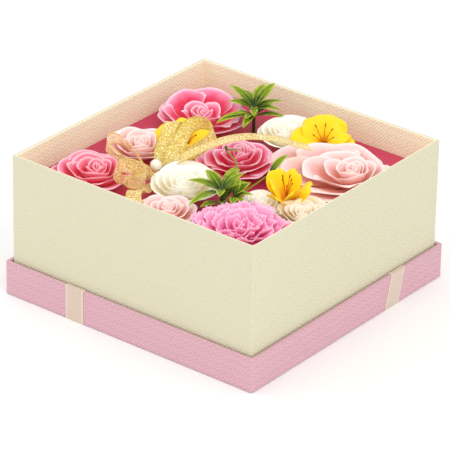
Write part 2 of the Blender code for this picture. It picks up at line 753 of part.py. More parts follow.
def main():
    for old in list(bpy.data.objects):
        bpy.data.objects.remove(old, do_unlink=True)
    make_lid(empty("lid_body", (0, 0, LID_UNDERSIDE)))
    make_box(empty("box_body", (0, 0, BOX_UNDERSIDE)))
    insert = empty("insert_body", (0, 0, PLATFORM_HEIGHT))
    make_platform(insert)
    for name, finish in BLOOM_FINISHES.items():
        make_bloom(name, finish, insert)
    make_freesia("freesia_left", insert)
    for name in ("freesia_back", "freesia_front"):
        x, y = FREESIAS[name][:2]
        make_freesia(name, empty(name + "_body", (x, y, PLATFORM_HEIGHT)))
    for name, (stem, _) in SPRIGS.items():
        make_sprig(name, empty(name + "_body", (*stem, PLATFORM_HEIGHT)))
    make_bow(empty("bow_body", (KNOT[0], KNOT[1], PLATFORM_HEIGHT)))


main()
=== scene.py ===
"""Looks of the flower gift box: embossed papers, satin and organza ribbons, petals and greenery."""

import math

import bmesh
import bpy
import numpy as np
from bpy.props import FloatProperty, FloatVectorProperty, PointerProperty
from mathutils import Matrix, Vector


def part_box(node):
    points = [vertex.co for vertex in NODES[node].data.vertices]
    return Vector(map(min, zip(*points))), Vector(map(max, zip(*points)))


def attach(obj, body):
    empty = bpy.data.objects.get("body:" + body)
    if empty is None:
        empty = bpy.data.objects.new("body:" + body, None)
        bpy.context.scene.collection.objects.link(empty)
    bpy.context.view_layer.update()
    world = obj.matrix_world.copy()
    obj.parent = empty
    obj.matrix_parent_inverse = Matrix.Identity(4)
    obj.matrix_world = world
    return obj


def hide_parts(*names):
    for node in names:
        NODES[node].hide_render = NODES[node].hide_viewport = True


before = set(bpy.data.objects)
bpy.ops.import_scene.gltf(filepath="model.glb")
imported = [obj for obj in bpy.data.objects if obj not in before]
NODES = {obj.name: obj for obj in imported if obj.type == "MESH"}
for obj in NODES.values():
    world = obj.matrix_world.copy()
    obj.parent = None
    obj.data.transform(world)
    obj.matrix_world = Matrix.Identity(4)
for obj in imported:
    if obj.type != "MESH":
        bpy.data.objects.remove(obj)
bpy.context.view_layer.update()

bl_info = {
    "name": "Flower Gift Box",
    "version": (1, 0, 0),
    "blender": (4, 5, 0),
    "location": "View3D > Sidebar > Flower Box",
    "description": "Papers, ribbons, petals and leaves of a gift box of flowers",
    "category": "Add Mesh",
}

# ---- Sizes and colours ------------------------------------------------------------------------


def linear(red, green, blue):
    """A colour given in 0 to 255 display steps, as linear values."""
    steps = (red / 255, green / 255, blue / 255)
    return tuple(s / 12.92 if s <= 0.04045 else ((s + 0.055) / 1.055) ** 2.4 for s in steps)


def colour(label, about, *display):
    return FloatVectorProperty(
        name=label, description=about, subtype="COLOR", size=3, min=0, max=1, default=linear(*display)
    )


def length(label, about, metres):
    return FloatProperty(
        name=label, description=about, default=metres, min=0,
        unit="LENGTH", subtype="DISTANCE", precision=5,
    )


def amount(label, about, value, top=1.0):
    return FloatProperty(name=label, description=about, default=value, min=0, max=top)


class FLOWERBOX_PG_papers(bpy.types.PropertyGroup):
    box_outside: colour("Box outside", "Cream paper on the outer walls", 221, 217, 188)
    # Painted light: the inside colour is the same cream paper, brightened to offset the shade that falls
    # inside the walls.
    box_inside_brightened: colour("Box inside", "The same paper where it turns down inside", 250, 240, 210)
    lid: colour("Lid", "Pink paper of the lid", 229, 181, 192)
    platform: colour("Platform", "Crimson card under the flowers", 218, 40, 92)
    board: colour("Board", "Grey board inside the walls", 168, 160, 148)
    lining: colour("Lining", "Plain paper on the inner walls", 236, 226, 204)
    bar: length("Bar length", "Length of one bar of the herringbone emboss", 0.0038)
    pitch: length("Bar pitch", "Distance between two bars of the emboss", 0.0019)
    inner_glow: amount("Inner glow", "Light that the inner walls pass on to each other", 0.18)
    depth: length("Emboss depth", "How deep the emboss is pressed", 0.00022)


class FLOWERBOX_PG_ribbons(bpy.types.PropertyGroup):
    satin: colour("Satin", "Cream satin round the lid", 216, 194, 176)
    satin_edge: colour("Satin edge", "Its woven edges", 246, 228, 210)
    satin_width: length("Satin width", "Width of the lid's ribbons", 0.015)
    satin_thickness: length("Satin thickness", "Thickness of the lid's ribbons", 0.0002)
    gold: colour("Gold", "Gold thread of the bow", 234, 206, 62)
    gold_pale: colour("Pale gold", "Bright flecks of the bow", 255, 247, 188)
    gold_deep: colour("Deep gold", "Wired edges and shaded flecks", 200, 164, 30)
    gold_width: length("Gold width", "Width of the bow's ribbon", 0.010)
    gold_thickness: length("Gold thickness", "Thickness of the bow's ribbon", 0.0002)
    pearl: colour("Pearl", "The bead over the knot", 250, 243, 224)


class FLOWERBOX_PG_blooms(bpy.types.PropertyGroup):
    petal: length("Petal thickness", "Thickness of a pressed petal", 0.0005)
    glow: amount("Petal glow", "Light that passes through the petals from behind", 0.10)
    # Lip colours are painted highlight along the petals' edges. Depth colours are painted shade in the
    # hollows; for the white roses they also hold the centre's own cream, for the carnation also its veins.
    hot_pink_lip: colour("Hot pink lip", "Edges of the hot pink rose", 255, 204, 216)
    hot_pink: colour("Hot pink", "Faces of the hot pink rose", 240, 112, 150)
    hot_pink_deep: colour("Hot pink depth", "Hollows of the hot pink rose", 222, 24, 60)
    pink_lip: colour("Pink lip", "Edges of the pink roses", 252, 212, 226)
    pink: colour("Pink", "Faces of the pink roses", 240, 134, 176)
    pink_deep: colour("Pink depth", "Hollows of the pink roses", 224, 20, 70)
    blush_lip: colour("Blush lip", "Edges of the blush roses", 255, 240, 236)
    blush: colour("Blush", "Faces of the blush roses", 245, 208, 206)
    blush_deep: colour("Blush depth", "Hollows of the blush roses", 222, 140, 120)
    white_lip: colour("White lip", "Edges of the white roses", 252, 250, 242)
    white: colour("White", "Faces of the white roses", 250, 247, 236)
    white_deep: colour("White depth", "Hollows of the white roses", 238, 226, 190)
    cream_lip: colour("Cream lip", "Edges of the cream rose", 250, 242, 226)
    cream: colour("Cream", "Faces of the cream rose", 245, 234, 212)
    cream_deep: colour("Cream depth", "Hollows of the cream rose", 205, 170, 100)
    carnation_lip: colour("Carnation lip", "Toothed edges of the carnation", 253, 204, 228)
    carnation: colour("Carnation", "Faces of the carnation", 246, 164, 204)
    carnation_deep: colour("Carnation depth", "Hollows of the carnation", 222, 62, 130)
    yellow: colour("Yellow", "Freesia petals", 255, 218, 0)
    yellow_deep: colour("Yellow depth", "Freesia throat", 234, 160, 6)
    stamen: colour("Stamen", "Freesia stamens", 214, 120, 16)


class FLOWERBOX_PG_greens(bpy.types.PropertyGroup):
    leaf: colour("Leaf", "Middle of a leaf", 112, 140, 10)
    leaf_edge: colour("Leaf edge", "Edges and tip of a leaf", 196, 208, 62)
    leaf_deep: colour("Leaf depth", "Foot of a leaf", 26, 60, 12)
    stem: colour("Stem", "Stems and cups", 40, 76, 24)
    thickness: length("Leaf thickness", "Thickness of a leaf", 0.0005)


class FLOWERBOX_PG_stage(bpy.types.PropertyGroup):
    floor: colour("Floor", "Pale floor under the box", 252, 252, 252)
    around: amount("Light all round", "Strength of the even light", 0.98, 5.0)
    key: amount("Key light", "Power of the large light, in watts", 7.0, 100.0)
    lens: FloatProperty(
        name="Lens", description="Focal length of the camera", default=279.05, min=1, unit="CAMERA"
    )


def settings(group):
    return getattr(bpy.context.scene, "flowerbox_" + group)


# ---- Shader maths -----------------------------------------------------------------------------


class Field:
    """A value, colour or vector that varies over a surface. Arithmetic on values adds Math nodes."""

    def __init__(self, finish, socket):
        self.finish = finish
        self.socket = socket

    def maths(self, operation, *others):
        inputs = dict(enumerate((self, *others)))
        return self.finish.node("ShaderNodeMath", {"operation": operation}, inputs)

    def swapped(self, operation, other):
        return self.finish.node("ShaderNodeMath", {"operation": operation}, {0: other, 1: self})

    def __add__(self, other):
        return self.maths("ADD", other)

    def __sub__(self, other):
        return self.maths("SUBTRACT", other)

    def __rsub__(self, other):
        return self.swapped("SUBTRACT", other)

    def __mul__(self, other):
        return self.maths("MULTIPLY", other)

    def __truediv__(self, other):
        return self.maths("DIVIDE", other)

    def __rtruediv__(self, other):
        return self.swapped("DIVIDE", other)

    def __mod__(self, other):
        return self.maths("FLOORED_MODULO", other)

    def __gt__(self, other):
        return self.maths("GREATER_THAN", other)

    def __abs__(self):
        return self.maths("ABSOLUTE")

    __radd__ = __add__
    __rmul__ = __mul__

    def floor(self):
        return self.maths("FLOOR")

    def sine(self):
        return self.maths("SINE")

    def between(self, low, high):
        """0 below low, 1 above high, and a smooth step between them."""
        step = {"interpolation_type": "SMOOTHSTEP", "clamp": True}
        inputs = {"Value": self, 1: low, 2: high, 3: 0.0, 4: 1.0}
        return self.finish.node("ShaderNodeMapRange", step, inputs)


class Finish:
    """One procedural material, built up around a Principled shader."""

    def __init__(self, name, **shader):
        self.material = bpy.data.materials.new(name)
        self.material.use_nodes = True
        self.tree = self.material.node_tree
        self.shader = self.tree.nodes["Principled BSDF"]
        self.set(**shader)

    def set(self, **inputs):
        """Constant or varying inputs of the shader, their spaces written as underscores."""
        for label, value in inputs.items():
            self.feed(self.shader.inputs[label.replace("_", " ")], value)
        return self

    def feed(self, socket, value):
        if isinstance(value, Field):
            self.tree.links.new(value.socket, socket)
        elif hasattr(value, "__len__") and len(value) == 3 and socket.type == "RGBA":
            socket.default_value = (*value, 1.0)
        else:
            socket.default_value = value

    def node(self, kind, options=None, inputs=None, output=0):
        """A node with its options set first, then the values or links of its sockets."""
        made = self.tree.nodes.new(kind)
        for option, value in (options or {}).items():
            setattr(made, option, value)
        for label, value in (inputs or {}).items():
            self.feed(made.inputs[label], value)
        return Field(self, made.outputs[output])

    def attribute(self, name):
        return self.node("ShaderNodeAttribute", {"attribute_name": name}, output="Fac")

    def place(self):
        return self.node("ShaderNodeTexCoord", output="Object")

    def split(self, vector):
        first = self.node("ShaderNodeSeparateXYZ", inputs={0: vector})
        return [Field(self, socket) for socket in first.socket.node.outputs]

    def join(self, x, y, z):
        return self.node("ShaderNodeCombineXYZ", inputs={0: x, 1: y, 2: z})

    def noise(self, size, detail=2.0, vector=None):
        """Cloudy variation whose lumps are about size metres across, from 0 to 1."""
        inputs = {"Vector": vector or self.place(), "Scale": 1 / size, "Detail": detail}
        return self.node("ShaderNodeTexNoise", inputs=inputs, output="Fac")

    def flecks(self, size):
        """A random value from 0 to 1 for each fleck of about size metres."""
        inputs = {"Vector": self.place(), "Scale": 1 / size}
        cell = self.node("ShaderNodeTexVoronoi", inputs=inputs, output="Color")
        return self.split(cell)[0]

    def mix(self, share, first, second):
        """Colour from first at share 0 to second at share 1."""
        inputs = {0: share, 6: first, 7: second}
        return self.node("ShaderNodeMix", {"data_type": "RGBA"}, inputs, output=2)

    def blend_values(self, share, first, second):
        """As mix, but of two values."""
        return self.node("ShaderNodeMix", {"data_type": "FLOAT"}, {0: share, 2: first, 3: second}, output=0)

    def bump(self, height, distance):
        inputs = {"Height": height, "Distance": distance, "Strength": 1.0}
        return self.node("ShaderNodeBump", inputs=inputs)


def dimmed(tint, share):
    return tuple(value * share for value in tint)


# ---- Mesh building ----------------------------------------------------------------------------


class Sheets:
    """Gathers grids of points into one mesh, with named values at each point for its finish."""

    def __init__(self):
        self.points, self.faces, self.values, self.count = [], [], {}, 0

    def add(self, grid, closed=False, **values):
        """grid is rows x columns x 3. A closed grid's last column joins its first."""
        rows, columns = grid.shape[:2]
        across = np.arange(columns if closed else columns - 1)
        for row in range(rows - 1):
            low = self.count + row * columns
            for column in across:
                after = (column + 1) % columns
                self.faces.append((low + column, low + after, low + columns + after, low + columns + column))
        self.points.append(grid.reshape(-1, 3))
        for label, value in values.items():
            self.values.setdefault(label, []).append(np.broadcast_to(value, (rows, columns)).reshape(-1))
        self.count += rows * columns

    def cap(self, first, columns):
        self.faces.append(tuple(range(first, first + columns)))

    def blade(self, grid, thickness, **values):
        """A closed petal or leaf about a grid, thick along its middle and fine at its edges."""
        rows, columns = grid.shape[:2]
        normal = np.cross(np.gradient(grid, axis=1), np.gradient(grid, axis=0))
        normal /= np.maximum(np.linalg.norm(normal, axis=2, keepdims=True), 1e-12)
        down, across = np.linspace(0, 1, rows)[:, None], np.linspace(-1, 1, columns)[None, :]
        swell = (1 - 0.75 * across**8) * (1 - 0.75 * down**8) * thickness / 2
        faces = grid + normal * swell[..., None], grid - normal * swell[..., None]
        both = {}
        for label, value in values.items():
            value = np.broadcast_to(value, (rows, columns))
            both[label] = np.concatenate((value, value[:, ::-1]), axis=1)
        first = self.count
        self.add(np.concatenate((faces[0], faces[1][:, ::-1]), axis=1), closed=True, **both)
        for low in (first, first + (rows - 1) * 2 * columns):
            last = low + 2 * columns - 1
            for i in range(columns - 1):
                self.faces.append((low + i, low + i + 1, last - 1 - i, last - i))

    def build(self, name, finish, body, thickness=0.0, stands_for=()):
        mesh = bpy.data.meshes.new(name)
        mesh.from_pydata(np.concatenate(self.points).tolist(), [], [tuple(map(int, f)) for f in self.faces])
        for label, parts in self.values.items():
            layer = mesh.attributes.new(label, "FLOAT", "POINT")
            layer.data.foreach_set("value", np.concatenate(parts).astype(np.float32))
        mesh.materials.append(finish.material)
        mesh.validate()
        shape = bmesh.new()
        shape.from_mesh(mesh)
        bmesh.ops.recalc_face_normals(shape, faces=shape.faces)
        shape.to_mesh(mesh)
        shape.free()
        mesh.shade_smooth()
        piece = bpy.data.objects.new(name, mesh)
        bpy.context.scene.collection.objects.link(piece)
        if thickness:
            shell = piece.modifiers.new("Thickness", "SOLIDIFY")
            shell.thickness = thickness
            shell.offset = 0
        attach(piece, body)
        if stands_for:
            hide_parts(*stands_for)
        return piece


def tube(sheets, places, radii, sides=8, **values):
    """A round tube along places, closed at both ends."""
    places = np.asarray(places, float)
    along = np.gradient(places, axis=0)
    along /= np.linalg.norm(along, axis=1, keepdims=True)
    guide = np.array((0.31, 0.17, 0.93)) if abs(along[0][2]) < 0.9 else np.array((1.0, 0.1, 0.0))
    side = np.cross(along, guide)
    side /= np.linalg.norm(side, axis=1, keepdims=True)
    up = np.cross(side, along)
    turn = np.linspace(0, 2 * math.pi, sides, endpoint=False)
    radii = np.broadcast_to(radii, len(places))
    ring = side[:, None] * np.cos(turn)[None, :, None] + up[:, None] * np.sin(turn)[None, :, None]
    first = sheets.count
    sheets.add(places[:, None] + ring * radii[:, None, None], closed=True, **values)
    sheets.cap(first, sides)
    sheets.cap(sheets.count - sides, sides)


def turned(sheets, centre, axis, profile, sides=24, **values):
    """Rings of (radius, height) round an axis through centre."""
    axis = Vector(axis).normalized()
    spin = Vector((0, 0, 1)).rotation_difference(axis).to_matrix()
    turn = np.linspace(0, 2 * math.pi, sides, endpoint=False)
    ring = np.stack((np.cos(turn), np.sin(turn), np.zeros(sides)), axis=1)
    grid = np.array([ring * radius + (0, 0, height) for radius, height in profile])
    first = sheets.count
    sheets.add(grid @ np.array(spin).T + np.array(centre), closed=True, **values)
    sheets.cap(first, sides)
    sheets.cap(sheets.count - sides, sides)


def smooth_route(places, steps):
    """A Catmull-Rom curve through the places, as rows of numbers."""
    p = np.asarray(places, float)
    p = np.vstack((p[:1], p, p[-1:]))
    route = []
    for i in range(1, len(p) - 2):
        a, b, c, d = p[i - 1:i + 3]
        bend, twist = 2 * a - 5 * b + 4 * c - d, 3 * b - a - 3 * c + d
        for t in np.arange(steps) / steps:
            route.append(0.5 * (2 * b + (c - a) * t + bend * t**2 + twist * t**3))
    return np.array(route + [p[-2]])


# ---- Papers -----------------------------------------------------------------------------------

BOX_INSIDE_HALF = 0.0985  # nearer the middle than this is the inside of the box's walls
LIT_FROM, LIT_TO = 0.055, 0.100  # heights between which the inner walls light each other more
FACING = 0.7  # how far a normal leans to an axis before the surface counts as facing it


def embossed_paper(name, outside, inside, inner_half, outer_depth, painted_groove_shade, glow=0.0):
    """Paper pressed with a herringbone of short bars, stronger where it is seen inside the walls, its grooves
    darkened with painted shade.
    """
    papers = settings("papers")
    finish = Finish(name, Specular_IOR_Level=0.3)
    x, y, z = finish.split(finish.place())
    normal = finish.node("ShaderNodeNewGeometry", output="Normal")
    side_x, _, up = finish.split(normal)
    on_end = abs(side_x) > FACING
    flat = abs(up) > FACING
    u = finish.blend_values(on_end, x, y)
    v = finish.blend_values(flat, z, y)
    diagonal = math.sqrt(0.5)
    p, q = (u + v) * diagonal, (u - v) * diagonal
    square = ((p / papers.bar).floor() + (q / papers.bar).floor()) % 2
    bars = (finish.blend_values(square, p, q) * (2 * math.pi / papers.pitch)).sine() * 0.5 + 0.5
    within = (1 - (abs(x) > inner_half)) * (1 - (abs(y) > inner_half))
    cloud = finish.noise(0.02, 3)
    grain = finish.noise(0.0004, 2)
    # Inside the walls the paper takes the inside colour; the box's is painted lighter than its outside to
    # offset the shade between the walls.
    tint = finish.mix(within, outside, inside)
    tint = finish.mix(cloud * 0.12, tint, dimmed(outside, 0.86))
    # Painted shade: the grooves between the bars are darkened, more inside the walls than outside.
    groove_shade_share = (1 - bars) * (within * 0.20 + painted_groove_shade)
    tint = finish.mix(groove_shade_share, tint, dimmed(inside, 0.66))
    height = bars * (within * (1 - outer_depth) + outer_depth) + grain * 0.15
    finish.set(Base_Color=tint, Roughness=grain * 0.12 + 0.54, Normal=finish.bump(height, papers.depth))
    if glow:
        shine = finish.mix(within * (z.between(LIT_FROM, LIT_TO) * 0.5 + 0.5), (0.0, 0.0, 0.0), tint)
        finish.set(Emission_Color=shine, Emission_Strength=glow)
    return finish


def plain_paper(name, tint, grain_size, roughness):
    finish = Finish(name, Specular_IOR_Level=0.3)
    fibres = finish.noise(grain_size, 4)
    finish.set(
        Base_Color=finish.mix(fibres, dimmed(tint, 0.84), tint),
        Roughness=fibres * 0.15 + roughness,
        Normal=finish.bump(fibres, 0.00005),
    )
    return finish


def dress(finish, *nodes):
    """Give CAD pieces that keep their shape their real finish."""
    for name in nodes:
        node = NODES[name]
        node.data.materials.clear()
        node.data.materials.append(finish.material)


class FLOWERBOX_OT_box(bpy.types.Operator):
    """Dress the box in its embossed cream paper, board and lining"""

    bl_idname = "flowerbox.box"
    bl_label = "Box papers"

    def execute(self, context):
        papers = settings("papers")
        cream = embossed_paper(
            "cream_emboss", papers.box_outside, papers.box_inside_brightened,
            inner_half=BOX_INSIDE_HALF, outer_depth=0.8, painted_groove_shade=0.24, glow=papers.inner_glow,
        )
        dress(cream, "box_wrap")
        dress(plain_paper("box_greyboard", papers.board, 0.0008, 0.8), "box_board")
        dress(plain_paper("box_lining_paper", papers.lining, 0.0006, 0.65), "box_lining")
        return {"FINISHED"}


class FLOWERBOX_OT_lid(bpy.types.Operator):
    """Dress the upturned lid in its embossed pink paper, board and lining"""

    bl_idname = "flowerbox.lid"
    bl_label = "Lid papers"

    def execute(self, context):
        papers = settings("papers")
        pink = embossed_paper(
            "pink_emboss", papers.lid, papers.lid, inner_half=0.0, outer_depth=1.0, painted_groove_shade=0.60
        )
        dress(pink, "lid_wrap")
        dress(plain_paper("lid_greyboard", papers.board, 0.0008, 0.8), "lid_board")
        dress(plain_paper("lid_lining_paper", papers.lining, 0.0006, 0.65), "lid_lining")
        return {"FINISHED"}


class FLOWERBOX_OT_platform(bpy.types.Operator):
    """Dress the platform in crimson card with a soft sheen"""

    bl_idname = "flowerbox.platform"
    bl_label = "Platform card"

    def execute(self, context):
        tint = settings("papers").platform
        card = Finish("crimson_card", Specular_IOR_Level=0.4, Sheen_Weight=0.2)
        fibres = card.noise(0.0006, 4)
        cloud = card.noise(0.03, 2)
        shade = card.mix(cloud, dimmed(tint, 0.8), tint)
        card.set(
            Base_Color=card.mix(fibres * 0.3, shade, dimmed(tint, 0.7)),
            Roughness=fibres * 0.2 + 0.42,
            Normal=card.bump(fibres, 0.00006),
        )
        dress(card, "platform")
        return {"FINISHED"}


# ---- Satin ribbons round the lid --------------------------------------------------------------

LID_SIDE = 0.2072
LID_WALL = 0.0024
LID_RIM = 0.0244
RIBBON_TUCK = 0.009
LAYER_GAP = 0.0001
LONG_RIBBON_X = -0.0435
CROSS_RIBBON_Y = 0.0462
CROSS_RIBBON_SLANT = 0.0064
CROSSING_MARGIN = 0.0015  # how far beside the lower ribbon the upper one is still raised
CROSSING_RAMP = 0.004  # the run in which it comes down
FOLD_RADIUS = 0.0002


def ribbon_grid(places, sides, width, columns, gather=None):
    """Rows of points across a ribbon, its `across` and `along` values and its normal.

    Where it is gathered, its full width is kept in narrow pleats.
    """
    along = np.gradient(places, axis=0)
    along /= np.linalg.norm(along, axis=1, keepdims=True)
    sides = sides - along * (sides * along).sum(1, keepdims=True)
    sides /= np.linalg.norm(sides, axis=1, keepdims=True)
    normal = np.cross(along, sides)
    share = np.linspace(-1, 1, columns)
    gather = np.ones(len(places)) if gather is None else gather
    step = width / (columns - 1)
    pleat = np.where(np.arange(columns) % 2, 0.5, -0.5) * step
    grid = (
        places[:, None]
        + sides[:, None] * (share * width / 2)[None, :, None] * gather[:, None, None]
        + normal[:, None] * pleat[None, :, None] * np.sqrt(1 - gather**2)[:, None, None]
    )
    run = np.concatenate(([0], np.linalg.norm(np.diff(places, axis=0), axis=1).cumsum()))
    return grid, share[None, :], run[:, None]


def satin_finish():
    ribbons = settings("ribbons")
    finish = Finish("cream_satin", Specular_IOR_Level=0.55, Sheen_Weight=0.35, Anisotropic=0.4)
    across, along = finish.attribute("across"), finish.attribute("along")
    edge = abs(across).between(0.80, 0.90)
    threads = (across * 95).sine() * 0.5 + 0.5
    picks = (along * (2 * math.pi / 0.0007)).sine() * 0.5 + 0.5
    streaks = finish.noise(0.0012, 2, finish.join(across * 0.012, along * 0.05, 0.0))
    body = finish.mix(streaks * 0.45, ribbons.satin, dimmed(ribbons.satin, 0.84))
    finish.set(
        Base_Color=finish.mix(edge * (picks * 0.4 + 0.55), body, ribbons.satin_edge),
        Roughness=streaks * 0.16 + 0.26 + edge * 0.25,
        Normal=finish.bump(threads * (1 - edge) * 0.4 + picks * edge, 0.00006),
    )
    return finish


def lid_corners(crossing):
    """(run, height) corners of a ribbon from inside one lid wall, under the panel, to inside the other."""
    ribbons = settings("ribbons")
    off = LAYER_GAP + ribbons.satin_thickness / 2
    outside, inside = LID_SIDE / 2 + off, LID_SIDE / 2 - LID_WALL - off
    top, bottom, end = LID_RIM + off, ribbons.satin_thickness / 2, LID_RIM - RIBBON_TUCK
    corners = [(-inside, end), (-inside, top), (-outside, top), (-outside, bottom)]
    if crossing is not None:
        raised = bottom + ribbons.satin_thickness + LAYER_GAP
        near = ribbons.satin_width / 2 + CROSSING_MARGIN
        far = near + CROSSING_RAMP
        corners += [(crossing - far, bottom), (crossing - near, raised)]
        corners += [(crossing + near, raised), (crossing + far, bottom)]
    return corners + [(outside, bottom), (outside, top), (inside, top), (inside, end)]


def filled_route(corners, radius, step=0.002):
    """Corners joined by straight runs with small rounded turns, and points every few millimetres."""
    route = [corners[0]]
    for before, corner, after in zip(corners, corners[1:], corners[2:]):
        into, out = before - corner, after - corner
        start = corner + into / np.linalg.norm(into) * radius
        end = corner + out / np.linalg.norm(out) * radius
        for t in np.linspace(0, 1, 5):
            route.append(start * (1 - t) ** 2 + corner * 2 * t * (1 - t) + end * t**2)
    route.append(corners[-1])
    filled = [route[0]]
    for a, b in zip(route, route[1:]):
        pieces = max(1, round(float(np.linalg.norm(b - a)) / step))
        filled += [a + (b - a) * i / pieces for i in range(1, pieces + 1)]
    return np.array(filled)


class FLOWERBOX_OT_lid_ribbons(bpy.types.Operator):
    """Glue two cream satin ribbons round the lid"""

    bl_idname = "flowerbox.lid_ribbons"
    bl_label = "Lid ribbons"

    def execute(self, context):
        ribbons = settings("ribbons")
        finish = satin_finish()
        for name, along_x, crossing in (
            ("lid_ribbon_long", False, None),
            ("lid_ribbon_cross", True, LONG_RIBBON_X),
        ):
            corners = []
            for run, height in lid_corners(crossing):
                lean = CROSS_RIBBON_SLANT * min(height / LID_RIM, 1) if along_x and run > 0.09 else 0
                place = (run, CROSS_RIBBON_Y + lean, height) if along_x else (LONG_RIBBON_X, run, height)
                corners.append(np.array(place))
            route = filled_route(corners, FOLD_RADIUS)
            sheets = Sheets()
            across_way = np.tile((0.0, 1.0, 0.0) if along_x else (1.0, 0.0, 0.0), (len(route), 1))
            share = np.linspace(-1, 1, 9)
            grid = route[:, None] + across_way[:, None] * (share * ribbons.satin_width / 2)[None, :, None]
            run = np.concatenate(([0], np.linalg.norm(np.diff(route, axis=0), axis=1).cumsum()))
            sheets.add(grid, across=share[None, :], along=run[:, None])
            piece = sheets.build(
                name + "_satin", finish, "lid", ribbons.satin_thickness, (name,)
            )
        return {"FINISHED"}


# ---- Petals -----------------------------------------------------------------------------------


PETAL_GRAIN = 0.00004


def petal_tints(kind):
    """The colours of a kind of petal: the painted highlight of its lip, its face, and the painted shade of
    its hollows.
    """
    blooms = settings("blooms")
    return (getattr(blooms, kind + part) for part in ("_lip", "", "_deep"))


def petal_finish(name, lip, face, deep, reach, heart_shade=0.0, veins=0.0):
    """Pressed petals: darkened with painted shade in the hollows, lightened with painted highlight towards
    and along the lip, with a fine matt grain.

    `edge` runs from 0 at a petal's foot to 1 at its lip, `side` from -1 to 1 across it, and `heart`
    is 1 in the bud. The face's own colour comes in over the part of `edge` that reach gives.
    """
    glow = settings("blooms").glow
    finish = Finish(name, Specular_IOR_Level=0.3, Sheen_Weight=0.2, Emission_Strength=glow)
    edge, heart, side = finish.attribute("edge"), finish.attribute("heart"), finish.attribute("side")
    cloud = finish.noise(0.006, 2)
    risen = edge + (cloud - 0.5) * 0.22
    # The petal's foot, and the bud's faces by heart_shade, take the depth colour: painted shade in the
    # hollows.
    foot = risen.between(*reach)
    lip_highlight = edge.between(0.86, 0.98) + abs(side).between(0.88, 1.0) * edge.between(0.4, 0.8)
    shade = finish.mix(heart * heart_shade, face, deep)
    tint = finish.mix(foot, deep, shade)
    # Painted highlight: lighter towards the lip, with a pale line along the lip and the upper sides.
    tint = finish.mix(risen.between(0.62, 1.0) * 0.25, tint, lip)
    tint = finish.mix(lip_highlight * 0.8, tint, lip)
    fine = finish.noise(0.0005, 3)
    height = fine * 0.6
    if veins:
        streaks = (side * 26 + (cloud - 0.5) * 3).sine() * 0.5 + 0.5
        tint = finish.mix(streaks * veins * (1 - lip_highlight), tint, deep)
        height = height + streaks * 0.8
    finish.set(
        Base_Color=tint,
        Emission_Color=tint,
        Roughness=fine * 0.14 + 0.52,
        Normal=finish.bump(height, PETAL_GRAIN),
    )
    return finish


FRONT_WAY = np.array((0.615, -0.789))  # level, out past the box's front corner
INNER_HALF = 0.0972  # to the inside of a wall
PRESSED_FROM = INNER_HALF - 0.004
PRESSED_ROOM = 0.0035


def within_walls(flat):
    """Petals that would reach past a wall are pressed back against it."""
    over = np.abs(flat) - PRESSED_FROM
    pressed = np.sign(flat) * (PRESSED_FROM + PRESSED_ROOM * np.tanh(over / PRESSED_ROOM))
    return np.where(over > 0, pressed, flat)


class Head:
    """A flower head: its outline, pressed in by its neighbours, and its height.

    bud is the offset of the bud from the middle, lean how far the head tilts to the front, and
    pointed how much its petals come to a point, from 0 to 1.
    """

    def __init__(self, name, bud, lean, pointed=1.0):
        low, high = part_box(name + "_calyx")
        self.name = name
        self.centre = np.array(((low.x + high.x) / 2, (low.y + high.y) / 2))
        self.base, self.top = high.z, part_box(name)[1].z
        self.bud, self.lean, self.pointed = np.array(bud), lean, pointed
        points = np.array([vertex.co for vertex in NODES[name].data.vertices])
        flat = points[:, :2] - self.centre
        angles = np.arctan2(flat[:, 1], flat[:, 0]) % (2 * math.pi)
        radii = np.linalg.norm(flat, axis=1)
        self.angles = np.linspace(0, 2 * math.pi, 48, endpoint=False)
        spread = np.abs((angles[None] - self.angles[:, None] + math.pi) % (2 * math.pi) - math.pi)
        widest = np.where(spread < 0.15, radii[None], 0).max(1)
        self.radii = (np.roll(widest, 1) + 2 * widest + np.roll(widest, -1)) / 4
        self.size = float(self.radii.mean())

    def place(self, share, angle, rise):
        """World points from a share of the outline's radius, an angle and a share of the height."""
        reach = np.interp(angle % (2 * math.pi), self.angles, self.radii, period=2 * math.pi)
        offset = np.stack((np.cos(angle), np.sin(angle)), -1) * (share * reach)[..., None]
        offset = offset + self.bud * (1 - np.clip(share, 0, 1))[..., None]
        lifted = -(offset @ FRONT_WAY) * self.lean * np.clip(rise, 0, 1)
        height = self.base + (self.top - self.base) * rise + lifted
        flat = self.centre + offset
        return np.concatenate((within_walls(flat), height[..., None]), -1)


def rose_petal(head, sheets, rng, ring, angle, heart, rows=12, columns=15):
    """One cupped petal whose lip rolls outwards. ring is (inner, outer, rise, half width, roll)."""
    inner, outer, rise, half, roll = ring
    v = np.linspace(0, 1, rows)[:, None]
    u = np.linspace(-1, 1, columns)[None, :]
    pointed = head.pointed
    outer = outer * (1 + rng.uniform(-0.07, 0.04) * (1 - heart) * pointed)
    rise = rise * (1 + rng.uniform(-0.07, 0.01))
    point = rng.uniform(-0.25, 0.25)
    reach = v * np.minimum(1 - 0.20 * pointed * np.abs(u - point) ** 1.5 - 0.10 * np.abs(u) ** 4, 1)
    share = inner + (outer - inner) * (1 - (1 - reach) ** 1.8)
    up = rise * reach**1.15
    lip = np.clip((reach - 0.66) / 0.34, 0, 1) ** 2
    corner = np.exp(-((np.abs(u) - 0.62) / 0.25) ** 2) * rng.uniform(0.6, 1.5) * pointed
    curl = roll * (0.55 + corner)
    share = share + curl * lip + 0.06 * u * reach * outer
    up = up - curl * lip * head.size / (head.top - head.base) + 0.03 * u * reach * (1 - heart)
    turn = angle + half * u * (0.35 + 0.65 * reach**0.7)
    grid = head.place(share, turn, up)
    sheets.blade(grid, settings("blooms").petal, edge=v, heart=heart, side=u)


RING_TURN = 2.4 * math.pi  # turn from one ring to the next, shared among its petals


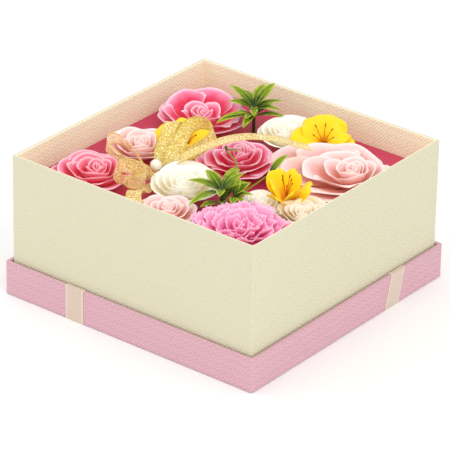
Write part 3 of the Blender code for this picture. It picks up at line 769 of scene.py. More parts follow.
def rose(name, finish, bud, lean, rings, seed, pointed):
    """A rose head built ring by ring from the bud out. Each ring starts with its number of petals."""
    head = Head(name, bud, lean, pointed)
    rng = np.random.default_rng(seed)
    sheets = Sheets()
    turn = rng.uniform(0, 6)
    for index, (count, *ring) in enumerate(rings):
        ring[3] = math.radians(ring[3])
        heart = 1 - index / (len(rings) - 1)
        for petal in range(count):
            angle = turn + petal * 2 * math.pi / count + rng.uniform(-0.2, 0.2)
            rose_petal(head, sheets, rng, ring, angle, heart)
        turn += RING_TURN / count
    sheets.build(name + "_petals", finish, "insert", 0, (name,))


# Rings of a rose: petals, inner share, outer share, rise, half width in degrees, roll of the lip.
FULL_ROSE = (
    (2, 0.00, 0.07, 1.00, 115, 0.00),
    (3, 0.01, 0.16, 1.00, 80, 0.01),
    (3, 0.03, 0.29, 0.99, 78, 0.03),
    (3, 0.06, 0.46, 0.96, 80, 0.06),
    (4, 0.10, 0.68, 0.90, 66, 0.09),
    (5, 0.16, 0.90, 0.78, 54, 0.11),
    (5, 0.24, 1.08, 0.54, 54, 0.10),
)
SPIRAL_ROSE = (
    (2, 0.00, 0.08, 0.94, 120, 0.00),
    (2, 0.02, 0.22, 0.96, 118, 0.02),
    (2, 0.05, 0.42, 0.97, 118, 0.05),
    (2, 0.10, 0.66, 0.94, 116, 0.10),
    (3, 0.15, 0.90, 0.84, 88, 0.13),
    (3, 0.22, 1.08, 0.62, 88, 0.12),
)
BROAD_ROSE = (
    (2, 0.00, 0.05, 1.00, 115, 0.00),
    (3, 0.01, 0.12, 1.00, 80, 0.01),
    (3, 0.02, 0.22, 1.00, 78, 0.02),
    (3, 0.04, 0.36, 0.98, 82, 0.04),
    (4, 0.08, 0.58, 0.94, 66, 0.07),
    (5, 0.14, 0.84, 0.86, 54, 0.10),
    (5, 0.22, 1.07, 0.60, 54, 0.10),
)
OPEN_ROSE = (
    (2, 0.00, 0.06, 0.98, 115, 0.00),
    (3, 0.01, 0.14, 0.98, 80, 0.01),
    (3, 0.03, 0.26, 0.97, 78, 0.03),
    (4, 0.06, 0.46, 0.92, 62, 0.08),
    (5, 0.14, 0.94, 0.90, 54, 0.12),
    (4, 0.22, 1.08, 0.60, 66, 0.09),
)

# Each kind of rose: where its face's colour comes in, how much painted shade darkens its bud, how pointed its
# petals.
ROSE_KINDS = {
    "hot_pink": ((0.50, 1.02), 0.30, 1.0),
    "pink": ((0.50, 1.05), 0.35, 1.0),
    "blush": ((0.35, 0.92), 0.15, 1.0),
    "white": ((0.40, 0.97), 0.30, 0.15),
    "cream": ((0.35, 0.92), 0.15, 1.0),
}
# Each rose: kind, bud's offset from the middle, lean, rings, seed.
ROSES = {
    "hot_pink_rose": ("hot_pink", (0.0085, -0.0010), 0.10, FULL_ROSE, 3),
    "blush_rose_left": ("blush", (0.0055, -0.0055), 0.10, BROAD_ROSE, 11),
    "pink_rose_back": ("pink", (0.0065, -0.0075), 0.14, OPEN_ROSE, 5),
    "pink_rose_centre": ("pink", (0.0010, 0.0015), 0.12, FULL_ROSE, 8),
    "white_rose_centre": ("white", (0.0030, -0.0080), 0.16, SPIRAL_ROSE, 2),
    "blush_rose_front": ("blush", (0.0030, -0.0015), 0.10, BROAD_ROSE, 21),
    "white_rose_back": ("white", (0.0000, -0.0060), 0.12, SPIRAL_ROSE, 14),
    "blush_rose_big": ("blush", (0.0180, 0.0050), 0.08, BROAD_ROSE, 6),
    "cream_rose": ("cream", (0.0050, -0.0070), 0.10, FULL_ROSE, 17),
    "white_rose_front": ("white", (0.0000, -0.0030), 0.10, SPIRAL_ROSE, 23),
}


class FLOWERBOX_OT_roses(bpy.types.Operator):
    """Build the rose heads petal by petal"""

    bl_idname = "flowerbox.roses"
    bl_label = "Roses"

    def execute(self, context):
        finishes = {
            kind: petal_finish(kind + "_petal", *petal_tints(kind), reach, heart_shade)
            for kind, (reach, heart_shade, _) in ROSE_KINDS.items()
        }
        for name, (kind, bud, lean, rings, seed) in ROSES.items():
            pointed = ROSE_KINDS[kind][2]
            rose(name, finishes[kind], bud, lean, rings, seed, pointed)
        return {"FINISHED"}


def carnation_petal(head, sheets, rng, ring, angle, heart, rows=10, columns=25):
    """A fan-shaped petal with a toothed, deeply waved edge."""
    inner, outer, rise, half, wave = ring
    v = np.linspace(0, 1, rows)[:, None]
    u = np.linspace(-1, 1, columns)[None, :]
    teeth = np.abs((u * 4.5 + rng.uniform(0, 1)) % 1 - 0.5) * 2
    limit = 1 - 0.12 * teeth - 0.16 * np.abs(u) ** 3
    reach = v * (1 - v**3 * (1 - limit))
    outer = outer * (1 + rng.uniform(-0.14, 0.08))
    rise = rise * (1 + rng.uniform(-0.12, 0.04))
    share = inner + (outer - inner) * (1 - (1 - reach) ** 1.5)
    fold, phase = rng.uniform(3.0, 5.5), rng.uniform(0, 6)
    share = share + wave * np.sin(fold * u + phase) * reach**2
    up = rise * reach + 0.09 * np.cos(fold * u + phase + 0.8) * reach**3
    up = up - rng.uniform(0.0, 0.22) * np.clip((reach - 0.6) / 0.4, 0, 1) ** 2 * (1 - heart)
    turn = angle + half * u * (0.20 + 0.80 * reach)
    grid = head.place(share, turn, up)
    sheets.blade(grid, settings("blooms").petal, edge=v, heart=heart, side=u)


CARNATION_TURN = 2.6 * math.pi  # turn from one ring to the next, shared among its petals
CARNATION_SEED = 31
# Rings of the carnation, as those of a rose, but the last number is the depth of the waves.
CARNATION_RINGS = (
    (3, 0.00, 0.12, 0.98, 80, 0.03),
    (4, 0.01, 0.27, 1.00, 58, 0.05),
    (5, 0.03, 0.44, 1.00, 48, 0.06),
    (7, 0.05, 0.61, 0.97, 37, 0.06),
    (9, 0.08, 0.78, 0.90, 30, 0.06),
    (10, 0.11, 0.93, 0.78, 27, 0.06),
    (11, 0.15, 1.06, 0.60, 25, 0.05),
)


class FLOWERBOX_OT_carnation(bpy.types.Operator):
    """Build the carnation with its toothed petals"""

    bl_idname = "flowerbox.carnation"
    bl_label = "Carnation"

    def execute(self, context):
        finish = petal_finish(
            "carnation_petal", *petal_tints("carnation"), reach=(0.35, 0.95), heart_shade=0.10, veins=0.12
        )
        head = Head("carnation", (0.002, -0.006), 0.10)
        rng = np.random.default_rng(CARNATION_SEED)
        sheets = Sheets()
        turn = 0.0
        for index, (count, *ring) in enumerate(CARNATION_RINGS):
            ring[3] = math.radians(ring[3])
            heart = 1 - index / (len(CARNATION_RINGS) - 1)
            for petal in range(count):
                angle = turn + petal * 2 * math.pi / count + rng.uniform(-0.12, 0.12)
                carnation_petal(head, sheets, rng, ring, angle, heart)
            turn += CARNATION_TURN / count
        sheets.build("carnation_petals", finish, "insert", 0, ("carnation",))
        return {"FINISHED"}


# ---- Freesias ---------------------------------------------------------------------------------

# Each freesia: radius, lean of its axis to the front, depth, how cupped, its body and its seed.
FREESIAS = {
    "freesia_back": (0.0270, 0.42, 0.0130, 0.0, "freesia_back_pick", 4),
    "freesia_front": (0.0165, 0.30, 0.0190, 0.9, "freesia_front_pick", 9),
    "freesia_left": (0.0235, 0.36, 0.0120, 0.0, "insert", 12),
}
FREESIA_FOOT = 0.0016  # radius of the funnel's foot
STAMEN_RADIUS = 0.00022
ANTHER = (0.0001, 0.0004, 0.0005, 0.0005, 0.0004, 0.0001)  # radii along it


def freesia_petal(sheets, foot, spin, angle, radius, depth, cupped, outer, rng, rows=13, columns=13):
    """A broad rounded petal of the funnel, hollowed along its middle."""
    v = np.linspace(0, 1, rows)[:, None]
    u = np.linspace(-1, 1, columns)[None, :]
    reach = v * (1 - 0.16 * np.abs(u) ** 2.2)
    flare = (1.35 if outer else 1.6) - 0.75 * cupped
    radial = FREESIA_FOOT + (radius - FREESIA_FOOT) * reach**flare * (1.0 if outer else 0.80)
    up = depth * (1 - (1 - reach) ** (1.8 - 0.7 * cupped)) * (0.88 if outer else 1.0)
    droop = np.clip((reach - 0.62) / 0.38, 0, 1) ** 2 * (1 - 0.7 * cupped)
    up = up - droop * depth * rng.uniform(0.1, 0.5) * (1 + 0.5 * np.sin(2.5 * u + rng.uniform(0, 6)))
    width = radius * (0.50 if outer else 0.40) * np.sin(math.pi * (0.06 + 0.82 * v)) ** 0.6
    cup = 0.10 * radius * (1 - u**2) * reach
    across = u * width
    out = (radial - cup) * rng.uniform(0.88, 1.06) + 0.04 * radius * np.sin(3 * u + rng.uniform(0, 6)) * reach
    cos, sin = math.cos(angle), math.sin(angle)
    grid = np.stack((out * cos - across * sin, out * sin + across * cos, up), -1)
    sheets.blade(grid @ spin.T + foot, settings("blooms").petal, edge=reach, heart=0.0, side=u)


class FLOWERBOX_OT_freesias(bpy.types.Operator):
    """Build the freesias with their stamens"""

    bl_idname = "flowerbox.freesias"
    bl_label = "Freesias"

    def execute(self, context):
        blooms = settings("blooms")
        yellow = petal_finish(
            "freesia_petal", blooms.yellow, blooms.yellow, blooms.yellow_deep, reach=(0.05, 0.42), veins=0.10
        )
        yellow.set(Sheen_Weight=0.1, Specular_IOR_Level=0.4)
        anthers = Finish("stamen_dust", Specular_IOR_Level=0.3)
        dust = anthers.noise(0.0004, 2)
        anthers.set(
            Base_Color=anthers.mix(dust, dimmed(blooms.stamen, 0.6), blooms.stamen),
            Roughness=dust * 0.2 + 0.6,
            Normal=anthers.bump(dust, 0.00008),
        )
        for name, (radius, lean, depth, cupped, body, seed) in FREESIAS.items():
            low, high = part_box(name + "_stem")
            foot = np.array(((low.x + high.x) / 2, (low.y + high.y) / 2, high.z + 0.0002))
            rng = np.random.default_rng(seed)
            axis = Vector((*(FRONT_WAY * lean), 1)).normalized()
            spin = np.array(Vector((0, 0, 1)).rotation_difference(axis).to_matrix())
            petals = Sheets()
            for petal in range(6):
                outer = petal % 2 == 0
                angle = petal * math.pi / 3 + rng.uniform(-0.1, 0.1) + seed
                freesia_petal(petals, foot, spin, angle, radius, depth, cupped, outer, rng)
            petals.build(name + "_petals", yellow, body, 0, (name,))
            stamens = Sheets()
            for hair in range(6):
                angle = hair * math.pi / 3 + rng.uniform(-0.3, 0.3)
                spread = radius * rng.uniform(0.16, 0.30)
                rise = depth * rng.uniform(0.72, 0.9)
                tip = np.array((math.cos(angle) * spread, math.sin(angle) * spread, rise))
                t = np.linspace(0, 1, 7)[:, None]
                line = np.concatenate((tip[None, :2] * t**1.3, 0.0012 + tip[2] * t), 1) @ spin.T + foot
                tube(stamens, line, STAMEN_RADIUS, 6)
                anther = line[-1] + (line[-1] - line[-2]) * np.linspace(-0.1, 1.3, len(ANTHER))[:, None]
                tube(stamens, anther, ANTHER, 6)
            stamens.build(name + "_anthers", anthers, body, 0, (name + "_stamens",))
        return {"FINISHED"}


# ---- Greenery ---------------------------------------------------------------------------------

# Each sprig's whorls by name: hub height, then leaves as tip and width.
SPRIGS = {
    "sprig_back": {
        "upper": (0.0990, (
            ((-0.013, 0.075, 0.098), 0.0065), ((-0.018, 0.084, 0.1005), 0.0065),
            ((-0.028, 0.087, 0.110), 0.0080), ((-0.038, 0.088, 0.106), 0.0075),
            ((-0.048, 0.078, 0.102), 0.0070), ((-0.054, 0.070, 0.107), 0.0065),
            ((-0.047, 0.059, 0.1005), 0.0085), ((-0.018, 0.051, 0.101), 0.0055),
        )),
        "lower": (0.0940, (
            ((-0.009, 0.076, 0.0935), 0.0065), ((-0.029, 0.086, 0.0945), 0.0065),
            ((-0.044, 0.081, 0.0950), 0.0060), ((-0.037, 0.034, 0.0965), 0.0080),
            ((-0.020, 0.042, 0.0950), 0.0060), ((-0.0353, 0.0408, 0.0990), 0.0050),
            ((-0.033, 0.050, 0.0990), 0.0055), ((-0.022, 0.047, 0.0990), 0.0055),
        )),
    },
    "sprig_front": {
        "upper": (0.0975, (
            ((0.040, -0.031, 0.102), 0.0060), ((0.023, -0.018, 0.103), 0.0070),
            ((0.010, -0.035, 0.103), 0.0085), ((0.009, -0.053, 0.102), 0.0080),
            ((0.027, -0.074, 0.098), 0.0070), ((0.041, -0.060, 0.103), 0.0060),
            ((0.0265, -0.0205, 0.1035), 0.0065), ((0.0340, -0.0250, 0.1045), 0.0055),
        )),
        "lower": (0.0890, (
            ((0.0303, -0.0250, 0.0990), 0.0065), ((0.025, -0.060, 0.0900), 0.0060),
        )),
    },
}
# Side twigs of a whorl: places along the twig, then the leaves at its end.
TWIGS = {
    "sprig_front_upper": (
        ((
            (0.031, -0.045, 0.0970), (0.029, -0.028, 0.1010),
            (0.019, -0.015, 0.1030), (0.0055, -0.0085, 0.1045),
        ), (
            ((0.0010, -0.0030, 0.1050), 0.0022), ((0.0125, -0.0020, 0.1040), 0.0024),
        )),
    ),
    "sprig_front_lower": (
        (((0.031, -0.045, 0.0890), (0.036, -0.043, 0.0920), (0.0385, -0.0415, 0.0945)), (
            ((0.0399, -0.0260, 0.1000), 0.0060), ((0.0492, -0.0357, 0.0975), 0.0055),
            ((0.0519, -0.0474, 0.0955), 0.0050), ((0.0455, -0.0520, 0.0950), 0.0055),
            ((0.0330, -0.0300, 0.1020), 0.0055), ((0.0370, -0.0340, 0.1045), 0.0050),
            ((0.0460, -0.0400, 0.1010), 0.0050),
        )),
        (((0.031, -0.045, 0.0890), (0.036, -0.028, 0.0920), (0.0395, -0.0060, 0.0970)), (
            ((0.0389, 0.0143, 0.1045), 0.0055),
        )),
    ),
}


# Radius and height of the rings of the collar that a whorl's leaves grow from.
WHORL_COLLAR = ((0.0013, -0.0012), (0.0022, -0.0010), (0.0026, 0.0), (0.0022, 0.0010), (0.0014, 0.0012))
LEAF_ROOT = 0.0018  # how far from the collar's middle a leaf starts


def leaf_finish():
    greens = settings("greens")
    finish = Finish("leaf", Specular_IOR_Level=0.22)
    across, along = finish.attribute("across"), finish.attribute("along")
    cloud = finish.noise(0.004, 3)
    rib = 1 - abs(across).between(0.03, 0.16)
    veins = (along * 40 - abs(across) * 9).sine() * 0.5 + 0.5
    tint = finish.mix((along + (cloud - 0.5) * 0.5).between(0.05, 0.55), greens.leaf_deep, greens.leaf)
    outward = abs(across) * 0.6 + along * 0.5 + (cloud - 0.5) * 0.5
    tint = finish.mix(outward.between(0.45, 1.0), tint, greens.leaf_edge)
    tint = finish.mix(rib * 0.45, tint, greens.leaf_edge)
    tint = finish.mix(veins * 0.12, tint, greens.leaf_deep)
    finish.set(
        Base_Color=tint,
        Roughness=cloud * 0.2 + 0.42,
        Normal=finish.bump(veins * 0.4 + rib, 0.00012),
    )
    return finish


def leaf(sheets, root, tip, width, rows=15, columns=7):
    """A lance-shaped leaf with a folded midrib, arching from root to tip."""
    out = tip - root
    flat = np.array((out[0], out[1], 0.0)) / np.hypot(out[0], out[1])
    side = np.array((-flat[1], flat[0], 0.0))
    t = np.linspace(0, 1, rows)[:, None]
    u = np.linspace(-1, 1, columns)[None, :]
    wide = width / 2 * np.sin(math.pi * np.clip(t, 0.012, 0.995) ** 0.85) ** 0.85
    wide = np.maximum(wide, width * 0.10 * (1 - t))
    span = np.linalg.norm(out)
    arch = 0.28 * span * t * (1 - t)
    fold = 0.20 * np.abs(u) * wide
    points = root + out * t[..., None] + side * (u * wide)[..., None]
    points[..., 2] += arch + fold - 0.05 * span * t**3
    sheets.blade(points, settings("greens").thickness, across=u, along=t)


class FLOWERBOX_OT_sprigs(bpy.types.Operator):
    """Build the leaf whorls and dress the stems and cups"""

    bl_idname = "flowerbox.sprigs"
    bl_label = "Greenery"

    def execute(self, context):
        greens = settings("greens")
        finish = leaf_finish()
        for name, whorls in SPRIGS.items():
            low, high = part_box(name + "_stem")
            axis = np.array(((low.x + high.x) / 2, (low.y + high.y) / 2, 0.0))
            for whorl, (height, leaves) in whorls.items():
                sheets = Sheets()
                hub = axis + (0, 0, height)
                turned(sheets, hub, (0, 0, 1), WHORL_COLLAR, 14, across=0.0, along=0.05)
                for tip, width in leaves:
                    towards = np.array(tip) - hub
                    root = hub + towards / np.linalg.norm(towards) * LEAF_ROOT
                    leaf(sheets, root, np.array(tip), width)
                for places, ends in TWIGS.get(f"{name}_{whorl}", ()):
                    twig = smooth_route(places, 6)
                    tube(sheets, twig, np.linspace(0.0008, 0.0004, len(twig)), 7, across=0.0, along=0.12)
                    for tip, width in ends:
                        leaf(sheets, twig[-1], np.array(tip), width)
                node = f"{name}_{whorl}_whorl"
                sheets.build(node + "_leaves", finish, name + "_pick", 0, (node,))
        stem = Finish("stem_green", Specular_IOR_Level=0.45)
        fibres = stem.noise(0.002, 4)
        stem.set(
            Base_Color=stem.mix(fibres, dimmed(greens.stem, 0.6), greens.stem),
            Roughness=fibres * 0.2 + 0.4,
            Normal=stem.bump(fibres, 0.0001),
        )
        dress(stem, *(name for name in NODES if name.endswith(("_stem", "_calyx"))))
        return {"FINISHED"}


# ---- Bow --------------------------------------------------------------------------------------

KNOT = np.array((-0.0285, -0.0395, 0.0865))
PEARL = np.array((-0.0290, -0.0385, 0.0940))
PEARL_RADIUS = 0.004
GATHER_LENGTH = 0.018
GATHERED_SHARE = 0.35
KNOT_RADIUS, KNOT_BULGE, KNOT_HALF_HEIGHT = 0.0020, 0.0012, 0.0026
KNOT_SIDES = 48
PEARL_BORE = 0.0005
PEARL_BORE_DEPTH = 0.80  # from the middle, as a share of the radius
PEARL_AXIS = (0.8, 0.6, 0.1)

# Each run of ribbon: places on its middle line, each with the direction of its width.
BOW_RUNS = {
    "bow_loop_back": (
        ((-0.028, -0.035, 0.088), (0.8, 0.6, 0.0)),
        ((-0.0275, -0.026, 0.095), (0.8, 0.6, -0.1)),
        ((-0.0275, -0.0185, 0.101), (0.8, 0.5, -0.25)),
        ((-0.029, -0.0105, 0.1055), (0.75, 0.35, -0.5)),
        ((-0.0305, -0.0020, 0.1085), (0.5, 0.2, -0.8)),
        ((-0.0265, 0.0040, 0.1100), (0.1, 0.2, -0.95)),
        ((-0.0190, 0.0055, 0.1095), (0.0, 0.3, -0.95)),
        ((-0.0125, 0.0015, 0.1075), (0.1, 0.4, -0.9)),
        ((-0.0120, -0.005, 0.1040), (0.2, 0.5, -0.85)),
        ((-0.017, -0.0145, 0.099), (0.4, 0.4, -0.8)),
        ((-0.021, -0.0215, 0.097), (0.7, 0.1, -0.7)),
    ),
    "bow_loop_up": (
        ((-0.032, -0.0345, 0.0885), (0.8, 0.6, 0.0)),
        ((-0.035, -0.026, 0.096), (0.8, 0.6, 0.0)),
        ((-0.0365, -0.019, 0.103), (0.8, 0.6, 0.0)),
        ((-0.0395, -0.0115, 0.108), (0.8, 0.6, 0.0)),
        ((-0.0415, -0.006, 0.1095), (0.8, 0.6, 0.0)),
        ((-0.0435, -0.0015, 0.1065), (0.8, 0.6, 0.0)),
        ((-0.041, -0.005, 0.1005), (0.8, 0.6, 0.0)),
        ((-0.037, -0.0155, 0.095), (0.8, 0.6, 0.0)),
        ((-0.0355, -0.0225, 0.090), (0.8, 0.6, 0.0)),
    ),
    "bow_loop_left": (
        ((-0.030, -0.0455, 0.0895), (0.2, -0.5, 0.8)),
        ((-0.0325, -0.046, 0.0945), (0.2, -0.5, 0.8)),
        ((-0.0385, -0.045, 0.0995), (0.2, -0.5, 0.8)),
        ((-0.048, -0.042, 0.1025), (0.2, -0.5, 0.8)),
        ((-0.0565, -0.0415, 0.1045), (0.15, -0.4, 0.9)),
        ((-0.0610, -0.0465, 0.1060), (0.15, -0.2, 0.95)),
        ((-0.0585, -0.0535, 0.1060), (0.2, -0.1, 0.97)),
        ((-0.0515, -0.0580, 0.1055), (0.2, -0.25, 0.95)),
        ((-0.043, -0.0595, 0.1040), (0.2, -0.4, 0.9)),
        ((-0.0345, -0.056, 0.0985), (0.3, -0.6, 0.8)),
        ((-0.029, -0.049, 0.0915), (0.2, -0.5, 0.8)),
    ),
    "bow_loop_front": (
        ((-0.025, -0.0475, 0.0895), (0.2, -0.4, 0.9)),
        ((-0.026, -0.054, 0.096), (0.1, -0.2, 1.0)),
        ((-0.0295, -0.060, 0.1005), (0.0, 0.2, 1.0)),
        ((-0.0335, -0.065, 0.1025), (0.0, 0.3, 1.0)),
        ((-0.035, -0.071, 0.103), (0.2, 0.2, 0.95)),
        ((-0.0320, -0.0765, 0.102), (0.3, -0.1, 0.95)),
        ((-0.0255, -0.0795, 0.1010), (0.3, -0.3, 0.9)),
        ((-0.0205, -0.0755, 0.0995), (0.15, -0.4, 0.9)),
        ((-0.021, -0.066, 0.095), (0.1, -0.5, 0.8)),
        ((-0.023, -0.056, 0.0935), (0.1, -0.4, 0.9)),
    ),
    "bow_tail_arch": (
        ((-0.025, -0.036, 0.089), (-0.8, 0.6, 0.0)),
        ((-0.021, -0.029, 0.0955), (-0.8, 0.6, 0.0)),
        ((-0.0135, -0.0225, 0.1015), (-0.8, 0.6, 0.0)),
        ((-0.0045, -0.013, 0.107), (-0.8, 0.6, 0.0)),
        ((0.005, -0.0035, 0.111), (-0.8, 0.6, 0.0)),
        ((0.0135, 0.007, 0.1115), (-0.8, 0.6, 0.0)),
        ((0.024, 0.0205, 0.108), (-0.8, 0.6, 0.0)),
        ((0.0325, 0.031, 0.103), (-0.8, 0.6, 0.0)),
        ((0.0385, 0.039, 0.099), (-0.8, 0.6, 0.0)),
    ),
    "bow_tail_front": (
        ((-0.0245, -0.0465, 0.0855), (0.9, 0.3, 0.0)),
        ((-0.0225, -0.0568, 0.0855), (0.9, 0.3, 0.0)),
        ((-0.0186, -0.067, 0.0885), (0.8, 0.5, 0.0)),
        ((-0.0135, -0.078, 0.096), (0.8, 0.6, 0.0)),
        ((-0.009, -0.0855, 0.0965), (0.8, 0.6, 0.0)),
        ((-0.0055, -0.089, 0.095), (0.8, 0.6, 0.0)),
        ((-0.0045, -0.090, 0.093), (0.8, 0.6, 0.0)),
    ),
}
# How much glitter each run shows: the rest is sheer peach-gold organza.
GLITTER = {
    "bow_loop_back": 0.85,
    "bow_loop_up": 0.90,
    "bow_loop_left": 0.12,
    "bow_loop_front": 0.25,
    "bow_tail_arch": 0.60,
    "bow_tail_front": 0.45,
}


SHEER_GOLD, SHEER_PEACH = linear(240, 216, 128), linear(255, 232, 188)
SHEER_EDGE, GLINT = linear(226, 190, 92), linear(255, 252, 235)
PEARL_SHEEN = linear(250, 246, 236)


def organza_finish():
    """Sheer gold weave with wired edges, scattered glitter with painted glints, and a faint painted glow.
    `glitter` is how densely it lies.
    """
    ribbons = settings("ribbons")
    # Painted light: the organza glows faintly in its own colour.
    finish = Finish(
        "gold_organza", Metallic=0.1, Specular_IOR_Level=0.6, Sheen_Weight=0.2, Emission_Strength=0.18
    )
    across, along, glitter = (finish.attribute(label) for label in ("across", "along", "glitter"))
    fleck, fleck_fine = finish.flecks(0.00055), finish.flecks(0.0003)
    edge = abs(across).between(0.80, 0.88)
    weave = ((along * (2 * math.pi / 0.0011)).sine() * 0.7 + (across * 34).sine() * 0.3) * 0.5 + 0.5
    sheer = finish.mix(weave * 0.5, SHEER_GOLD, SHEER_PEACH)
    dusted = finish.mix((fleck + fleck_fine * 0.4).between(0.45, 1.15), ribbons.gold_deep, ribbons.gold_pale)
    dusted = finish.mix(fleck_fine.between(0.4, 0.8) * 0.8, dusted, ribbons.gold)
    tint = finish.mix(glitter, sheer, dusted)
    tint = finish.mix(fleck > 0.95, tint, GLINT)
    tint = finish.mix(edge * 0.75, tint, finish.mix(glitter, SHEER_EDGE, ribbons.gold_deep))
    solid = (glitter * 0.38 + edge + (fleck > 0.7) * 0.3 + weave * 0.22 + 0.18).between(0.0, 1.0)
    finish.set(
        Base_Color=tint,
        Emission_Color=tint,
        Roughness=(1 - fleck_fine) * 0.3 + 0.2,
        Alpha=solid,
        Normal=finish.bump(fleck * 0.6 + weave * 0.3 + edge, 0.00018),
    )
    return finish


class FLOWERBOX_OT_bow(bpy.types.Operator):
    """Build the gold bow, its knot, its pearl and its pick"""

    bl_idname = "flowerbox.bow"
    bl_label = "Bow"

    def execute(self, context):
        ribbons = settings("ribbons")
        organza = organza_finish()
        for name, run in BOW_RUNS.items():
            route = smooth_route([(*place, *side) for place, side in run], 12)
            places, sides = route[:, :3], route[:, 3:]
            near = np.clip(np.linalg.norm(places - KNOT, axis=1) / GATHER_LENGTH, 0, 1)
            gather = GATHERED_SHARE + (1 - GATHERED_SHARE) * near**2
            grid, across, along = ribbon_grid(places, sides, ribbons.gold_width, 13, gather)
            sheets = Sheets()
            sheets.add(grid, across=across, along=along, glitter=GLITTER[name])
            piece = sheets.build(
                name + "_organza", organza, "bow", ribbons.gold_thickness, (name,)
            )
        self.tie_knot(organza)
        self.set_pearl(ribbons)
        self.dress_pick(ribbons)
        return {"FINISHED"}

    def tie_knot(self, organza):
        knot = Sheets()
        turns = np.linspace(0, 2 * math.pi, KNOT_SIDES, endpoint=False)
        rows = []
        for height in np.linspace(-1, 1, 13):
            bulge = KNOT_RADIUS + KNOT_BULGE * math.sqrt(max(1 - height**2, 0))
            crease = 0.00022 * np.sin(9 * turns + 2.5 * height) + 0.00018 * math.sin(11 * height)
            radius = bulge + crease
            level = np.full(KNOT_SIDES, height * KNOT_HALF_HEIGHT)
            rows.append(np.stack((radius * np.cos(turns), radius * np.sin(turns), level), 1))
        along = np.linspace(0, 0.02, KNOT_SIDES)[None]
        knot.add(np.array(rows) + KNOT, closed=True, across=0.0, along=along, glitter=0.5)
        knot.cap(0, KNOT_SIDES)
        knot.cap(knot.count - KNOT_SIDES, KNOT_SIDES)
        knot.build("bow_knot_folds", organza, "bow", 0, ("bow_knot",))

    def set_pearl(self, ribbons):
        lustre = Finish("pearl_lustre", Specular_IOR_Level=0.7, Coat_Weight=1.0, Coat_Roughness=0.05)
        cloud = lustre.noise(0.003, 2)
        fine = lustre.noise(0.0005, 2)
        lustre.set(
            Base_Color=lustre.mix(cloud, ribbons.pearl, PEARL_SHEEN),
            Roughness=cloud * 0.1 + 0.16,
            Normal=lustre.bump(fine, 0.00001),
        )
        bead = Sheets()
        start = math.asin(PEARL_BORE / PEARL_RADIUS)
        bore_end = PEARL_RADIUS * PEARL_BORE_DEPTH
        arc = np.linspace(start, math.pi - start, 22)
        profile = [(PEARL_BORE, -bore_end)]
        profile += [(PEARL_RADIUS * math.sin(a), -PEARL_RADIUS * math.cos(a)) for a in arc]
        profile.append((PEARL_BORE, bore_end))
        turned(bead, PEARL, PEARL_AXIS, profile, 36)
        bead.build("bow_pearl_bead", lustre, "bow", 0, ("bow_pearl",))

    def dress_pick(self, ribbons):
        wire = Finish("gold_wire", Metallic=0.9, Specular_IOR_Level=0.5)
        scratch = wire.noise(0.001, 3)
        wire.set(
            Base_Color=wire.mix(scratch, dimmed(ribbons.gold_deep, 0.8), ribbons.gold),
            Roughness=scratch * 0.2 + 0.3,
            Normal=wire.bump(scratch, 0.00003),
        )
        dress(wire, "bow_pick")


# ---- Stage ------------------------------------------------------------------------------------

CAMERA_PLACE = Vector((1.2616, -1.6200, 1.1065))
CAMERA_YAW, CAMERA_PITCH, CAMERA_ROLL = 0.662, 0.4773, 0.0186  # radians
LIGHTS_AIM = Vector((0, 0, 0.05))
FLOOR_HALF = 6.0


def soft_light(name, place, size, watts, tint):
    """A round light of that size across, aimed at the middle of the box."""
    data = bpy.data.lights.new(name, "AREA")
    data.shape = "DISK"
    data.size = size
    data.energy = watts
    data.color = tint
    lamp = bpy.data.objects.new(name, data)
    lamp.location = place
    lamp.rotation_euler = (LIGHTS_AIM - Vector(place)).to_track_quat("-Z", "Y").to_euler()
    bpy.context.scene.collection.objects.link(lamp)


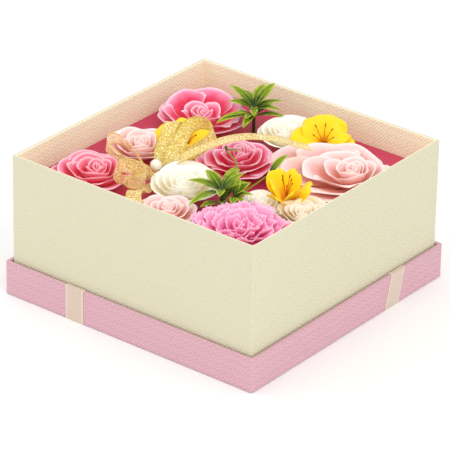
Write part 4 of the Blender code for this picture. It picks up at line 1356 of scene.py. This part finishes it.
class FLOWERBOX_OT_stage(bpy.types.Operator):
    """Lay the pale floor, set the soft lights and place the camera"""

    bl_idname = "flowerbox.stage"
    bl_label = "Stage"

    def execute(self, context):
        stage = settings("stage")
        scene = context.scene
        scene.view_settings.view_transform = "Standard"
        world = scene.world or bpy.data.worlds.new("Studio")
        scene.world = world
        world.use_nodes = True
        sky = world.node_tree.nodes["Background"]
        sky.inputs["Color"].default_value = (1, 1, 1, 1)
        sky.inputs["Strength"].default_value = stage.around

        paper = Finish("floor_paper", Roughness=0.9, Specular_IOR_Level=0.1)
        paper.set(Base_Color=paper.mix(paper.noise(0.5, 2) * 0.03, stage.floor, dimmed(stage.floor, 0.97)))
        shape = bmesh.new()
        bmesh.ops.create_grid(shape, x_segments=12, y_segments=12, size=FLOOR_HALF)
        mesh = bpy.data.meshes.new("floor")
        shape.to_mesh(mesh)
        shape.free()
        mesh.materials.append(paper.material)
        floor = bpy.data.objects.new("floor", mesh)
        scene.collection.objects.link(floor)

        soft_light("key", (1.25, -0.65, 1.4), 1.0, stage.key, (1.0, 0.98, 0.95))
        soft_light("fill", (-1.2, -0.6, 1.0), 1.2, stage.key * 0.5, (0.98, 0.99, 1.0))

        data = bpy.data.cameras.new("camera")
        data.lens = stage.lens
        data.clip_end = 50
        camera = bpy.data.objects.new("camera", data)
        yaw, pitch = CAMERA_YAW, CAMERA_PITCH
        back = Vector((math.sin(yaw) * math.cos(pitch), -math.cos(yaw) * math.cos(pitch), math.sin(pitch)))
        right = Vector((math.cos(yaw), math.sin(yaw), 0))
        up = back.cross(right)
        level = Matrix((right, up, back)).transposed()
        turn = level @ Matrix.Rotation(CAMERA_ROLL, 3, "Z")
        camera.matrix_world = Matrix.Translation(CAMERA_PLACE) @ turn.to_4x4()
        scene.collection.objects.link(camera)
        scene.camera = camera
        return {"FINISHED"}


# ---- Panel and registration -------------------------------------------------------------------

OPERATORS = (
    FLOWERBOX_OT_stage,
    FLOWERBOX_OT_box,
    FLOWERBOX_OT_lid,
    FLOWERBOX_OT_platform,
    FLOWERBOX_OT_lid_ribbons,
    FLOWERBOX_OT_roses,
    FLOWERBOX_OT_carnation,
    FLOWERBOX_OT_freesias,
    FLOWERBOX_OT_sprigs,
    FLOWERBOX_OT_bow,
)


class FLOWERBOX_PT_sidebar(bpy.types.Panel):
    """Lists the pieces of the flower box"""

    bl_idname = "FLOWERBOX_PT_sidebar"
    bl_label = "Flower Box"
    bl_space_type = "VIEW_3D"
    bl_region_type = "UI"
    bl_category = "Flower Box"

    def draw(self, context):
        for operator in OPERATORS:
            self.layout.operator(operator.bl_idname)
        for group in GROUPS:
            column = self.layout.column(heading=group.title())
            for name in GROUPS[group].__annotations__:
                column.prop(settings(group), name)


GROUPS = {
    "papers": FLOWERBOX_PG_papers,
    "ribbons": FLOWERBOX_PG_ribbons,
    "blooms": FLOWERBOX_PG_blooms,
    "greens": FLOWERBOX_PG_greens,
    "stage": FLOWERBOX_PG_stage,
}
CLASSES = (*GROUPS.values(), *OPERATORS, FLOWERBOX_PT_sidebar)


def register():
    for made in CLASSES:
        bpy.utils.register_class(made)
    for group, made in GROUPS.items():
        setattr(bpy.types.Scene, "flowerbox_" + group, PointerProperty(type=made))


def unregister():
    for group in GROUPS:
        delattr(bpy.types.Scene, "flowerbox_" + group)
    for made in reversed(CLASSES):
        bpy.utils.unregister_class(made)


def main():
    register()
    for operator in OPERATORS:
        step = operator.bl_idname.split(".")[1]
        getattr(bpy.ops.flowerbox, step)()
    bpy.context.view_layer.update()


if __name__ == "__main__":
    main()
